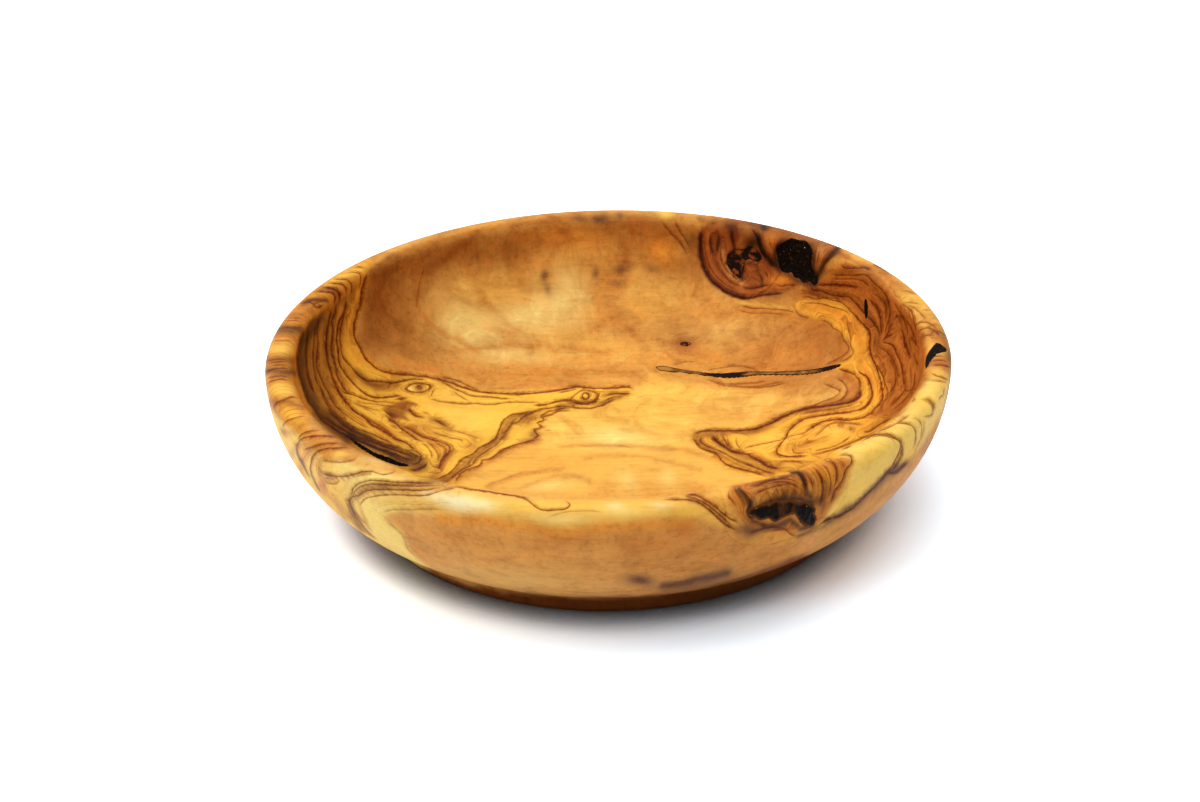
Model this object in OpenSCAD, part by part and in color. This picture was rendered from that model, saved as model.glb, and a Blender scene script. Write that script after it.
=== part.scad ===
// Shallow serving dish, turned from one block of olive wood.
// Dead knots, bark pockets and fillers are set flush in the turned surface.
// Origin at the centre of the foot's underside, +Z up. Sizes in millimetres, angles in degrees.

/* [Turned block] */
// Largest diameter, at the outside of the rim
dish_d = 200; // [170:1:240]
// Overall height, from the foot's underside to the top of the rim
dish_h = 47.9; // [40:0.1:60]
// Thickness of the wall under the rim
wall_t = 8; // [6.5:0.25:10]
// Radius of the rounding on both edges of the rim
rim_round_r = 3.4; // [1:0.1:4]
// Height of the bowl's floor where it runs into the wall
floor_h = 10.5; // [8:0.25:14]
// Radius of the shallow dishing of the floor
floor_dish_r = 900; // [600:10:2000]
// Diameter of the foot
foot_d = 147; // [125:1:160]
// Height of the foot, up to the wall
foot_h = 5.5; // [3:0.25:8]
// Width of the ring that the foot stands on
foot_ring_w = 12.5; // [6:0.5:30]
// Depth of the recess inside that ring
foot_recess_depth = 1.5; // [0.5:0.1:2.5]

/* [Front rim knot] */
// Direction of the knot, seen from above
front_knot_angle = -62.5; // [-80:0.5:-45]
// How far the knot's middle lies below the top of the rim
front_knot_drop = 7.9; // [5:0.1:14]
// Length of the knot along the rim
front_knot_length = 36; // [26:0.5:44]
// Width of the knot up the wall
front_knot_width = 21; // [16:0.5:25]
// Length of the filler in the knot
front_fill_length = 21; // [12:0.5:25]
// Width of the filler in the knot
front_fill_width = 10; // [6:0.25:12]
// How far the filler's middle lies below the knot's middle
front_fill_drop = 1; // [0:0.25:3]
// Depth of the filler, from the outside of the wall
front_fill_depth = 3.5; // [1.5:0.25:5]

/* [Back wall knot] */
// Direction of the knot, seen from above
back_knot_angle = 60; // [50:0.5:70]
// How far the knot's middle lies below the top of the rim
back_knot_drop = 6.9; // [4:0.1:14]
// Diameter of the knot
back_knot_d = 32; // [26:0.5:38]
// Size of the knot's dark heart
back_heart_size = 13; // [8:0.25:15]
// How far the heart's middle lies below the knot's middle
back_heart_drop = 4.5; // [0:0.25:6]

/* [Bark pockets] */
// Direction of the back bark pocket, seen from above
back_pocket_angle = 47.5; // [42:0.1:52]
// How far the back bark pocket's middle lies below the top of the rim
back_pocket_drop = 6.4; // [5:0.1:12]
// Size of the back bark pocket
back_pocket_size = 15; // [10:0.5:18]
// Direction of the bark crescent on the right of the rim
rim_pocket_angle = -9.5; // [-16:0.5:0]
// Length of the bark crescent along the rim
rim_pocket_length = 13; // [6:0.25:18]
// Width of the bark crescent across the rim
rim_pocket_width = 5.3; // [2:0.1:6]
// How far the crescent's inner side lies from the rim's inner edge
rim_pocket_reach = 0.9; // [0.5:0.1:1.5]
// Depth of the bark crescent, from the top of the rim
rim_pocket_depth = 3; // [1.5:0.1:4]
// Direction of the bark sliver in the right wall
slot_angle = 26.6; // [20:0.1:32]
// How far the sliver's middle lies below the top of the rim
slot_drop = 11.5; // [8:0.1:18]
// Length of the sliver, up the wall
slot_length = 7; // [4:0.25:10]
// Width of the sliver
slot_width = 1.6; // [1:0.1:3]
// Direction of the left floor pocket, seen from above
left_pocket_angle = -174; // [-180:0.5:-168]
// How far the left floor pocket's middle lies from the rim's inner edge, in plan
left_pocket_inset = 28; // [22:0.5:36]
// Length of the left floor pocket
left_pocket_length = 25; // [15:0.5:30]
// Width of the left floor pocket
left_pocket_width = 5; // [3:0.25:8]
// Turn of the left floor pocket's length from the +X axis
left_pocket_turn = -27; // [-45:1:-10]

/* [Floor crack and pin knot] */
// Direction of the crack's middle, seen from above
crack_angle = 45; // [40:0.5:50]
// How far the crack's middle lies from the rim's inner edge, in plan
crack_inset = 29.5; // [26:0.5:36]
// Length of the crack
crack_length = 60; // [40:1:70]
// Width of the crack at its blunt end
crack_width = 4; // [2:0.1:6]
// Turn of the crack's length from the +X axis
crack_turn = -18; // [-25:0.5:-10]
// Direction of the pin knot, seen from above
pin_knot_angle = 68.6; // [64:0.1:74]
// How far the pin knot's middle lies from the rim's inner edge, in plan
pin_knot_inset = 21.5; // [16:0.5:26]
// Diameter of the pin knot
pin_knot_d = 3.4; // [2:0.1:5]

/* [Inlays] */
// Depth of the pockets that open into the bowl
inlay_depth = 3; // [1.5:0.1:4]
// Glue line round every inlaid piece
glue_gap = 0.05; // [0.02:0.01:0.1]

/* [Hidden] */
$fn = 180;
// Very large circles need finer steps
large_fn = 1440;
// Overrun of cuts past the surface that they open
overrun = 5;
dish_r = dish_d / 2;
foot_r = foot_d / 2;
rim_inner_r = dish_r - wall_t;
// A rim can't be rounded by more than half its thickness
rim_r = min(rim_round_r, wall_t / 2);
rim_land = wall_t - 2 * rim_r;
// Height at which the wall is widest and the rim's rounding starts
widest_h = dish_h - rim_r;
// The wall's outer curve leaves the foot's top edge and ends upright at the widest point
wall_reach = dish_r - foot_r;
wall_rise = widest_h - foot_h;
outer_arc_r = (pow(wall_reach, 2) + pow(wall_rise, 2)) / (2 * wall_reach);
outer_arc_x = dish_r - outer_arc_r;
// The wall's inner curve starts upright under the rim and ends level with the floor
inner_arc_r = widest_h - floor_h;
inner_arc_x = rim_inner_r - inner_arc_r;
// The floor's circle touches the wall's inner curve, so the two run smoothly into each other
floor_centre_h = widest_h + sqrt(pow(floor_dish_r - inner_arc_r, 2) - pow(inner_arc_x, 2));
floor_edge_r = inner_arc_x * floor_dish_r / (floor_dish_r - inner_arc_r);
// Lobes of the irregular pockets: place along and across, then radius, as shares of the size
heart_lobe_shares = [[0.38, 0, 0.2], [-0.36, 0.26, 0.22], [0, 0.06, 0.34], [0, -0.3, 0.22]];
pocket_lobe_shares = [[0.08, 0.03, 0.36], [-0.22, 0, 0.27], [-0.32, -0.18, 0.2], [-0.44, -0.32, 0.14],
                      [0.3, -0.1, 0.2]];
// Lobes of the front filler: place along as a share of the length, rise and radius as shares of the width
fill_lobe_shares = [[-0.34, -0.06, 0.36], [-0.12, 0.06, 0.44], [0.12, 0.02, 0.42], [0.32, -0.14, 0.42]];
// Stations of a sliver: place along as a share of the length, middle and half breadth as shares of the width
crack_station_shares = [[-0.5, -0.1, 0.12], [-0.47, 0.05, 0.4], [-0.4, 0.08, 0.49], [-0.33, 0.11, 0.41],
                        [-0.23, 0, 0.2], [-0.14, 0.02, 0.26], [-0.03, 0.37, 0.27], [0.09, 0.55, 0.24],
                        [0.2, 0.54, 0.19], [0.32, 0.33, 0.2], [0.42, 0.12, 0.21], [0.5, -0.12, 0.1]];
crescent_station_shares = [[-0.5, 0.02, 0.02], [-0.24, 0.09, 0.08], [-0.03, 0.18, 0.18], [0.11, 0.34, 0.34],
                           [0.26, 0.56, 0.44], [0.35, 0.59, 0.39], [0.45, 0.64, 0.23], [0.5, 0.6, 0.06]];

// Hollow of the bowl as a half section, grown outwards by an even depth
module bowl_section(grow = 0) {
    intersection() {
        translate([0, floor_centre_h]) circle(r = floor_dish_r + grow, $fn = large_fn);
        square([floor_edge_r, dish_h + overrun]);
    }
    intersection() {
        translate([inner_arc_x, widest_h]) circle(r = inner_arc_r + grow);
        translate([floor_edge_r, 0]) square([dish_r - floor_edge_r, widest_h]);
    }
    translate([0, widest_h]) square([rim_inner_r + grow, rim_r + overrun]);
}

// Rim as a half section: two rounded edges, with a narrow flat land between them where there is room
module rim_section() {
    for (x = [rim_inner_r + rim_r, dish_r - rim_r])
        translate([x, widest_h]) circle(r = rim_r);
    if (rim_land > 0)
        translate([rim_inner_r + rim_r, widest_h]) square([rim_land, rim_r]);
}

// The turned block as a half section: wall, floor, foot and rim
module turned_section() {
    difference() {
        union() {
            intersection() {
                translate([outer_arc_x, widest_h]) circle(r = outer_arc_r);
                translate([foot_r - foot_ring_w, 0]) square([wall_reach + foot_ring_w, widest_h]);
            }
            square([foot_r, widest_h]);
        }
        bowl_section();
        square([foot_r - foot_ring_w, foot_recess_depth]);
    }
    rim_section();
}

module turned_block() {
    rotate_extrude() turned_section();
}

// Everything within an even depth of the bowl's surface, hollow included
module bowl_skin(depth) {
    rotate_extrude() bowl_section(depth);
}

// Outline with straight sides and round ends, along X
module oval(length, width) {
    square([length - width, width], center = true);
    for (side = [-1, 1])
        translate([side * (length - width) / 2, 0]) circle(d = width);
}

// Pointed outline between two equal arcs, along X, drawn in by an even gap
module lens(length, width, gap = 0) {
    arc_r = (pow(length, 2) + pow(width, 2)) / (4 * width);
    intersection_for (side = [-1, 1])
        translate([0, side * (arc_r - width / 2)]) circle(r = arc_r - gap, $fn = large_fn);
}

// Irregular outline made of overlapping round lobes, drawn in by an even gap
module lobes(shares, along, across, gap = 0) {
    for (share = shares)
        translate([share[0] * along, share[1] * across]) circle(r = share[2] * across - gap);
}

// Bent sliver, along X, given by its stations and drawn in by an even gap
module sliver(stations, length, width, gap = 0) {
    last = len(stations) - 1;
    upper = [for (s = stations) [s[0] * (length - 2 * gap), s[1] * width + s[2] * width - gap]];
    lower = [for (s = stations) [s[0] * (length - 2 * gap), s[1] * width - s[2] * width + gap]];
    polygon(concat(lower, [for (i = [0 : last]) upper[last - i]]));
}

// Column that runs straight out through the wall from a start radius, its outline drawn on the wall
module wall_column(angle, drop, start_r) {
    rotate([0, 0, angle])
        translate([start_r, 0, dish_h - drop])
            rotate([90, 0, 90])
                linear_extrude(height = dish_r + overrun - start_r) children();
}

// Upright column through the floor, its outline turned in plan
module floor_column(angle, inset, turn) {
    rotate([0, 0, angle])
        translate([rim_inner_r - inset, 0, 0])
            rotate([0, 0, turn - angle])
                linear_extrude(height = dish_h + overrun) children();
}

module front_knot_column(gap = 0) {
    wall_column(front_knot_angle, front_knot_drop, inner_arc_x)
        oval(front_knot_length - 2 * gap, front_knot_width - 2 * gap);
}

module front_fill_column(gap = 0) {
    wall_column(front_knot_angle, front_knot_drop + front_fill_drop, dish_r - front_fill_depth + gap)
        lobes(fill_lobe_shares, front_fill_length, front_fill_width, gap);
}

module back_knot_column(gap = 0) {
    wall_column(back_knot_angle, back_knot_drop, inner_arc_x)
        circle(d = back_knot_d - 2 * gap);
}

module back_heart_column(gap = 0) {
    intersection() {
        wall_column(back_knot_angle, back_knot_drop + back_heart_drop, inner_arc_x)
            lobes(heart_lobe_shares, back_heart_size, back_heart_size, gap);
        bowl_skin(inlay_depth - gap);
    }
}

module back_pocket_column(gap = 0) {
    intersection() {
        wall_column(back_pocket_angle, back_pocket_drop, inner_arc_x)
            lobes(pocket_lobe_shares, back_pocket_size, back_pocket_size, gap);
        bowl_skin(inlay_depth - gap);
    }
}

module rim_pocket_column(gap = 0) {
    rotate([0, 0, rim_pocket_angle])
        translate([rim_inner_r + rim_pocket_reach, 0, dish_h - rim_pocket_depth + gap])
            linear_extrude(height = rim_pocket_depth + overrun)
                mirror([1, -1]) sliver(crescent_station_shares, rim_pocket_length, rim_pocket_width, gap);
}

module slot_column(gap = 0) {
    intersection() {
        wall_column(slot_angle, slot_drop, inner_arc_x)
            rotate(90) lens(slot_length, slot_width, gap);
        bowl_skin(inlay_depth - gap);
    }
}

module crack_column(gap = 0) {
    intersection() {
        floor_column(crack_angle, crack_inset, crack_turn)
            sliver(crack_station_shares, crack_length, crack_width, gap);
        bowl_skin(inlay_depth - gap);
    }
}

module left_pocket_column(gap = 0) {
    intersection() {
        floor_column(left_pocket_angle, left_pocket_inset, left_pocket_turn)
            lens(left_pocket_length, left_pocket_width, gap);
        bowl_skin(inlay_depth - gap);
    }
}

module pin_knot_column(gap = 0) {
    intersection() {
        floor_column(pin_knot_angle, pin_knot_inset, 0)
            circle(d = pin_knot_d - 2 * gap);
        bowl_skin(inlay_depth - gap);
    }
}

// A piece set flush in the turned surface: its column, cut to the block
module flush_piece() {
    intersection() {
        turned_block();
        children();
    }
}

module dish_body() {
    color("burlywood") difference() {
        turned_block();
        front_knot_column();
        front_fill_column();
        back_knot_column();
        back_heart_column();
        back_pocket_column();
        rim_pocket_column();
        slot_column();
        crack_column();
        left_pocket_column();
        pin_knot_column();
    }
}

module front_rim_knot() {
    color("peru") difference() {
        flush_piece() front_knot_column(glue_gap);
        front_fill_column();
    }
}

module front_knot_fill() {
    color("black") flush_piece() front_fill_column(glue_gap);
}

module back_wall_knot() {
    color("sienna") difference() {
        flush_piece() back_knot_column(glue_gap);
        back_heart_column();
        back_pocket_column();
    }
}

module back_knot_heart() {
    color("saddlebrown") difference() {
        flush_piece() back_heart_column(glue_gap);
        back_pocket_column();
    }
}

module back_bark_pocket() {
    color("black") flush_piece() back_pocket_column(glue_gap);
}

module right_rim_pocket() {
    color("black") flush_piece() rim_pocket_column(glue_gap);
}

module right_wall_slot() {
    color("black") flush_piece() slot_column(glue_gap);
}

module floor_crack_fill() {
    color("dimgray") flush_piece() crack_column(glue_gap);
}

module left_floor_pocket() {
    color("black") flush_piece() left_pocket_column(glue_gap);
}

module floor_pin_knot() {
    color("maroon") flush_piece() pin_knot_column(glue_gap);
}

dish_body();
front_rim_knot();
front_knot_fill();
back_wall_knot();
back_knot_heart();
back_bark_pocket();
right_rim_pocket();
right_wall_slot();
floor_crack_fill();
left_floor_pocket();
floor_pin_knot();
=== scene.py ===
import math
from functools import cached_property

import bpy
import numpy as np
from mathutils import Matrix, Vector, noise
from mathutils.bvhtree import BVHTree


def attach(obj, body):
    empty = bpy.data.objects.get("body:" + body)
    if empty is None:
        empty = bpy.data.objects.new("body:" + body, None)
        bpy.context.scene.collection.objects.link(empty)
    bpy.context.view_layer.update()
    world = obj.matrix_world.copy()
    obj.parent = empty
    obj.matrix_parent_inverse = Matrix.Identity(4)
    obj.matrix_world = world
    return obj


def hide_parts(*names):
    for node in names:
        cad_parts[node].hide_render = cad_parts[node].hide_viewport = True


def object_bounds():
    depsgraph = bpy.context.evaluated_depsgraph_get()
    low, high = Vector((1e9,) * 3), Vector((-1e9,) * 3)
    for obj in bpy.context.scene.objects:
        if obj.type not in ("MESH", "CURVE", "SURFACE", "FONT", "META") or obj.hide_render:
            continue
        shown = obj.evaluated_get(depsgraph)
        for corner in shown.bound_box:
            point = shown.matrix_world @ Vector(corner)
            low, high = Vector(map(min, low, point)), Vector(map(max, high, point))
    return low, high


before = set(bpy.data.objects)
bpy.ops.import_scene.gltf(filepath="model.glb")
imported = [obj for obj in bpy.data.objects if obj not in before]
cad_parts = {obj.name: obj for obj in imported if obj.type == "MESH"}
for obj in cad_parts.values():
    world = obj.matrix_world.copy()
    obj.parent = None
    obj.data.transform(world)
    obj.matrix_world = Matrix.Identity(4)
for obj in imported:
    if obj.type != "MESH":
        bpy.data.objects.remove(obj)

CAD_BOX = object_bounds()
MM = 0.001
TINY = 1e-9

# Turned section, in millimetres: overall sizes from the frame, the others as part.scad has them
DISH_R = round(CAD_BOX[1][0] / MM, 3)
DISH_H = round(CAD_BOX[1][2] / MM, 3)
WALL_T = 8.0
RIM_R = 3.4
FLOOR_H = 10.5
FLOOR_DISH_R = 900.0
FOOT_R = 73.5
FOOT_H = 5.5
FOOT_RING_W = 12.5
FOOT_RECESS = 1.5
FOOT_EASE = 0.5

# Steps along the section, in millimetres: fine ones for measuring, and the mesh's on the floor, wall, rim,
# outside, foot and base
FINE_STEPS = [0.1] * 6
MESH_STEPS = [0.95, 0.95, 0.6, 1.3, 1.2, 4.5]

# Points on the mesh's widest rings, halved and quartered inside a radius and halved below a height outside;
# radius of the smallest ring
RING_POINTS = 720
HALVED_R = 58.0
HALVED_H = 26.0
QUARTERED_R = 29.0
SMALLEST_RING_R = 0.5

# Photograph: image size and focal length in pixels, camera distance and aim in millimetres
PHOTO_W = 1200
PHOTO_H = 802
FOCAL_PX = 2083.0
CAMERA_DISTANCE = 621.324
CAMERA_ELEVATION = math.radians(27.596)
CAMERA_ROLL = math.radians(-1.132)
CAMERA_AIM = np.array([-2.573, 0.0, 26.637])
SENSOR_W = 36.0

# Growth lines on a mesh: sets of lines and how many sets a vector holds; in millimetres, reach past a line's
# edge, range of offsets, run of the thinning ends, the offset that stands for none, limits of half the width
# and the gap that splits a line; share of the width at an end; fewest points of a line
LINE_SETS = 6
SETS_IN_VECTOR = 3
LINE_REACH = 0.9
LINE_RANGE = 5.0
LINE_TAPER = 3.0
FAR_OFFSET = 20.0
LINE_HALF_WIDTHS = (0.12, 2.0)
LINE_BREAK = 5.0
TIP_SHARE = 0.4
FEWEST_POINTS = 4

# Growth layers between the lines: spread of the lines' levels, golden step from line to line, softness of a
# line's pull in millimetres, least pull of all lines, and layers across the left rim to a millimetre
LAYER_SPAN = 1.6
LAYER_STEP = 0.618
PULL_SOFTNESS = 0.2
LEAST_PULL = 1e-4
RIM_LAYERS = 0.28

# Spacing of points on smooth curves: pixels on lines, painted shapes and inlays, and millimetres in plan
LINE_SPACING = 2.2
PAINT_SPACING = 6.0
EDGE_SPACING = 2.0
PLAN_SPACING = 0.6

# Painted shapes: unevenness of their edges as sizes of lumps in millimetres with reaches in pixels, and its
# seed; a band's reach in widths, soft edges of the figured areas and of the layered rim in pixels
WARPS = [(8.0, 2.2), (3.0, 1.4)]
WARP_SEED = 5
BAND_REACH = 3.0
FIGURED_SOFT = 3.0
LAYERED_SOFT = 4.0

# Places that the photograph doesn't show: lift of the sight line in millimetres, pull to the unseen wood's
# colour at each round of carrying the painting on, and rounds
SIGHT_LIFT = 0.6
SPREAD_PULL = 0.004
SPREAD_ROUNDS = 160

# Inlays, in millimetres: depth of a plug, depth and run of the hollow under it, skirt outside its outline
# with its slope; margin of a grid in cells, and pitches of the grids on knots, plugs, the left pocket and
# the smallest plugs; angle past which an edge is sharp
INLAY_DEPTH = 2.6
SINK_DEPTH = 1.8
SINK_RUN = 1.2
INLAY_SKIRT = 0.7
SKIRT_SLOPE = 2.0
GRID_MARGIN = 2
KNOT_PITCH = 0.6
PLUG_PITCH = 0.3
POCKET_PITCH = 0.35
SMALL_PITCH = 0.2
SHARP_ANGLE = math.radians(50)


def srgb(red, green, blue):
    """Linear colour of an 8-bit sRGB colour."""
    share = np.array([red, green, blue]) / 255.0
    return np.where(share <= 0.04045, share / 12.92, ((share + 0.055) / 1.055) ** 2.4)


# Ivory serves only for painted highlights
HIGHLIGHT_IVORY = srgb(255, 240, 186)
CREAM = srgb(255, 226, 134)
SAP = srgb(252, 200, 84)
YELLOW = srgb(255, 198, 68)
GOLD = srgb(232, 158, 48)
HONEY = srgb(242, 184, 82)
ORANGE = srgb(238, 154, 54)
TAN = srgb(222, 156, 70)
PINK_TAN = srgb(223, 157, 80)
RUST = srgb(190, 110, 42)
AMBER = srgb(206, 130, 50)
OCHRE = srgb(178, 114, 46)
BROWN = srgb(158, 92, 28)
RED_BROWN = srgb(150, 76, 32)
UMBER = srgb(98, 54, 18)
PURPLE = srgb(104, 62, 44)
SOOT = srgb(24, 14, 9)

# Factors on the wood's colour: shaded growth, brighter streaks, pale veins and the core of a growth line
SHADE = np.array([0.5, 0.31, 0.2])
GLEAM = np.array([1.12, 1.05, 1.0])
VEIL = np.array([1.12, 1.32, 1.55])
LINE_SHADE = np.array([0.38, 0.19, 0.1])


def unit(vectors):
    return vectors / (np.linalg.norm(vectors, axis=-1, keepdims=True) + TINY)


def smooth(share):
    """Smooth step of a share from 0 to 1."""
    share = np.clip(share, 0, 1)
    return share * share * (3 - 2 * share)


def polar(length, angle):
    return np.column_stack([length * np.cos(angle), length * np.sin(angle)])


def along(points):
    """Length along a chain of points at each of them."""
    return np.append(0, np.cumsum(np.linalg.norm(np.diff(points, axis=0), axis=1)))


# Turned surface

def arc(centre, radius, start, end, step):
    """Points on an arc of the section, from one angle to another in degrees."""
    count = max(2, int(abs(math.radians(end - start)) * radius / step) + 1)
    return np.array(centre) + polar(radius, np.radians(np.linspace(start, end, count + 1)))


def straight(start, end, step):
    """Points on a straight stretch of the section."""
    count = max(1, int(math.dist(start, end) / step) + 1)
    share = np.linspace(0, 1, count + 1)[:, None]
    return np.array(start) * (1 - share) + np.array(end) * share


def section(floor_step, wall_step, rim_step, outer_step, foot_step, base_step):
    """Half section of the dish from the floor's middle over the rim and under the foot, as (r, z)."""
    widest_h = DISH_H - RIM_R
    inner_r = DISH_R - WALL_T
    inner_arc_r = widest_h - FLOOR_H
    inner_arc_x = inner_r - inner_arc_r
    floor_centre = widest_h + math.sqrt((FLOOR_DISH_R - inner_arc_r) ** 2 - inner_arc_x ** 2)
    floor_edge = inner_arc_x * FLOOR_DISH_R / (FLOOR_DISH_R - inner_arc_r)
    floor_end = -90 + math.degrees(math.asin(floor_edge / FLOOR_DISH_R))
    reach = DISH_R - FOOT_R
    rise = widest_h - FOOT_H
    outer_arc_r = (reach ** 2 + rise ** 2) / (2 * reach)
    outer_arc_x = DISH_R - outer_arc_r
    outer_end = -math.degrees(math.asin(rise / outer_arc_r))
    ring_r = FOOT_R - FOOT_RING_W
    pieces = [
        arc((0, floor_centre), FLOOR_DISH_R, -90, floor_end, floor_step),
        arc((inner_arc_x, widest_h), inner_arc_r, floor_end, 0, wall_step),
        arc((inner_r + RIM_R, widest_h), RIM_R, 180, 90, rim_step),
        arc((DISH_R - RIM_R, widest_h), RIM_R, 90, 0, rim_step),
        arc((outer_arc_x, widest_h), outer_arc_r, 0, outer_end, outer_step),
        straight((FOOT_R, FOOT_H), (FOOT_R, FOOT_EASE), foot_step),
        straight((FOOT_R - FOOT_EASE, 0), (ring_r + FOOT_EASE, 0), base_step),
        straight((ring_r, FOOT_EASE), (ring_r, FOOT_RECESS), foot_step),
        straight((ring_r, FOOT_RECESS), (0, FOOT_RECESS), base_step),
    ]
    points = np.concatenate(pieces)
    keep = np.append(True, np.linalg.norm(np.diff(points, axis=0), axis=1) > TINY)
    return points[keep]


class Section:
    """The half section as functions of the length along it."""

    def __init__(self, points):
        self.points = points
        self.length = along(points)
        tangent = np.gradient(points, self.length, axis=0)
        tangent /= np.linalg.norm(tangent, axis=1)[:, None]
        self.normal = np.column_stack([-tangent[:, 1], tangent[:, 0]])

    def at(self, length):
        """Radius, height and the normal's two parts at a length along the section."""
        columns = [self.points[:, 0], self.points[:, 1], self.normal[:, 0], self.normal[:, 1]]
        return [np.interp(length, self.length, column) for column in columns]

    def length_of(self, r, z):
        """Length along the section of the point nearest to each (r, z)."""
        x, y = self.points.T
        rows = [np.argmin((x - a) ** 2 + (y - b) ** 2) for a, b in zip(r, z)]
        return self.length[np.array(rows, int)]


SECTION = Section(section(*FINE_STEPS))


def surface(flat):
    """Points and normals, in millimetres, of unrolled places: length along the section, turned by angle."""
    length = np.hypot(flat[:, 0], flat[:, 1])
    angle = np.arctan2(flat[:, 1], flat[:, 0])
    r, z, normal_r, normal_z = SECTION.at(length)
    points = np.column_stack([polar(r, angle), z])
    normals = np.column_stack([polar(normal_r, angle), normal_z])
    return points, normals


def unroll(points):
    """Unrolled places of points on the turned surface."""
    angle = np.arctan2(points[:, 1], points[:, 0])
    return polar(SECTION.length_of(np.hypot(points[:, 0], points[:, 1]), points[:, 2]), angle)


# Dish mesh

def ring_count(r, z, outside):
    """How many points a ring of the dish has."""
    if r < QUARTERED_R:
        return RING_POINTS // 4
    if r < HALVED_R or (outside and z < HALVED_H):
        return RING_POINTS // 2
    return RING_POINTS


def ring_faces(a, na, b, nb):
    """Faces between two rings that start at a and b, where one may have twice the points of the other."""
    faces = []
    for i in range(min(na, nb)):
        j = (i + 1) % min(na, nb)
        if na == nb:
            faces.append((a + i, b + i, b + j, a + j))
        elif nb > na:
            middle = b + 2 * i + 1
            faces += [(a + i, b + 2 * i, middle), (a + i, middle, a + j), (a + j, middle, b + 2 * j)]
        else:
            middle = a + 2 * i + 1
            faces += [(a + 2 * i, b + i, middle), (middle, b + i, b + j), (middle, b + j, a + 2 * j)]
    return faces


def turned_mesh():
    """Unrolled places and faces of the whole turned surface."""
    rows = section(*MESH_STEPS)
    rows = rows[rows[:, 0] > SMALLEST_RING_R]
    length = SECTION.length_of(rows[:, 0], rows[:, 1])
    rim = np.argmax(rows[:, 0])
    places = [np.zeros((1, 2))]
    faces = []
    start = 1
    last = None
    for row in range(len(rows)):
        count = ring_count(rows[row, 0], rows[row, 1], row > rim)
        places.append(polar(length[row], 2 * math.pi * np.arange(count) / count))
        if last is None:
            faces += [(0, start + i, start + (i + 1) % count) for i in range(count)]
        else:
            faces += ring_faces(last[0], last[1], start, count)
        last = (start, count)
        start += count
    places.append(np.array([[SECTION.length[-1], 0.0]]))
    faces += [(last[0] + i, start, last[0] + (i + 1) % last[1]) for i in range(last[1])]
    return np.concatenate(places), faces


FLAT, FACES = turned_mesh()
POINTS, NORMALS = surface(FLAT)
TREE = BVHTree.FromPolygons([Vector(p) for p in POINTS], FACES)


# Photograph's camera

def camera_axes():
    """Right, up and back directions of the photograph's camera."""
    back = np.array([0, -math.cos(CAMERA_ELEVATION), math.sin(CAMERA_ELEVATION)])
    right = np.array([1.0, 0, 0])
    up = np.array([0, math.sin(CAMERA_ELEVATION), math.cos(CAMERA_ELEVATION)])
    c = math.cos(CAMERA_ROLL)
    s = math.sin(CAMERA_ROLL)
    return c * right + s * up, c * up - s * right, back


RIGHT, UP, BACK = camera_axes()
EYE = CAMERA_AIM + BACK * CAMERA_DISTANCE


def add_object(name, data):
    """An object of the scene that carries the data."""
    made = bpy.data.objects.new(name, data)
    bpy.context.scene.collection.objects.link(made)
    return made


def make_camera():
    data = bpy.data.cameras.new("photo_camera")
    data.sensor_width = SENSOR_W
    data.lens = SENSOR_W * FOCAL_PX / PHOTO_W
    camera = add_object("photo_camera", data)
    turn = Matrix([RIGHT, UP, BACK]).transposed().to_4x4()
    camera.matrix_world = Matrix.Translation(Vector(EYE * MM)) @ turn
    bpy.context.scene.camera = camera


def pixel_of(points):
    """Photograph pixels of points in millimetres."""
    away = points - EYE
    depth = -(away @ BACK)
    u = PHOTO_W / 2 + FOCAL_PX * (away @ RIGHT) / depth
    v = PHOTO_H / 2 - FOCAL_PX * (away @ UP) / depth
    return np.column_stack([u, v])


def cast(pixels):
    """Points and normals on the turned surface under the pixels that meet it, and which pixels those are."""
    eye = Vector(EYE)
    points = []
    normals = []
    met = []
    for k, (u, v) in enumerate(pixels):
        ray = RIGHT * (u - PHOTO_W / 2) / FOCAL_PX + UP * (PHOTO_H / 2 - v) / FOCAL_PX - BACK
        point, normal, _, _ = TREE.ray_cast(eye, Vector(ray).normalized())
        if point is not None:
            points.append(point)
            normals.append(normal)
            met.append(k)
    return np.array(points).reshape(-1, 3), np.array(normals).reshape(-1, 3), np.array(met, int)


def curve(points, spacing, closed=False):
    """Smooth curve through points, as points at an even spacing."""
    p = np.array(points, float)
    if closed:
        p = np.vstack([p[-1], p, p[:2]])
    else:
        p = np.vstack([2 * p[0] - p[1], p, 2 * p[-1] - p[-2]])
    out = []
    for i in range(1, len(p) - 2):
        count = max(2, int(np.linalg.norm(p[i + 1] - p[i]) / spacing))
        t = np.linspace(0, 1, count, endpoint=False)[:, None]
        a, b, c, d = p[i - 1:i + 3]
        square = 2 * a - 5 * b + 4 * c - d
        cube = 3 * b - a - 3 * c + d
        out.append(0.5 * (2 * b + (c - a) * t + square * t ** 2 + cube * t ** 3))
    if not closed:
        out.append(p[-2:-1])
    return np.concatenate(out)


# Growth lines, traced: each has a strength, a width in pixels and points in the photograph's pixels

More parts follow.
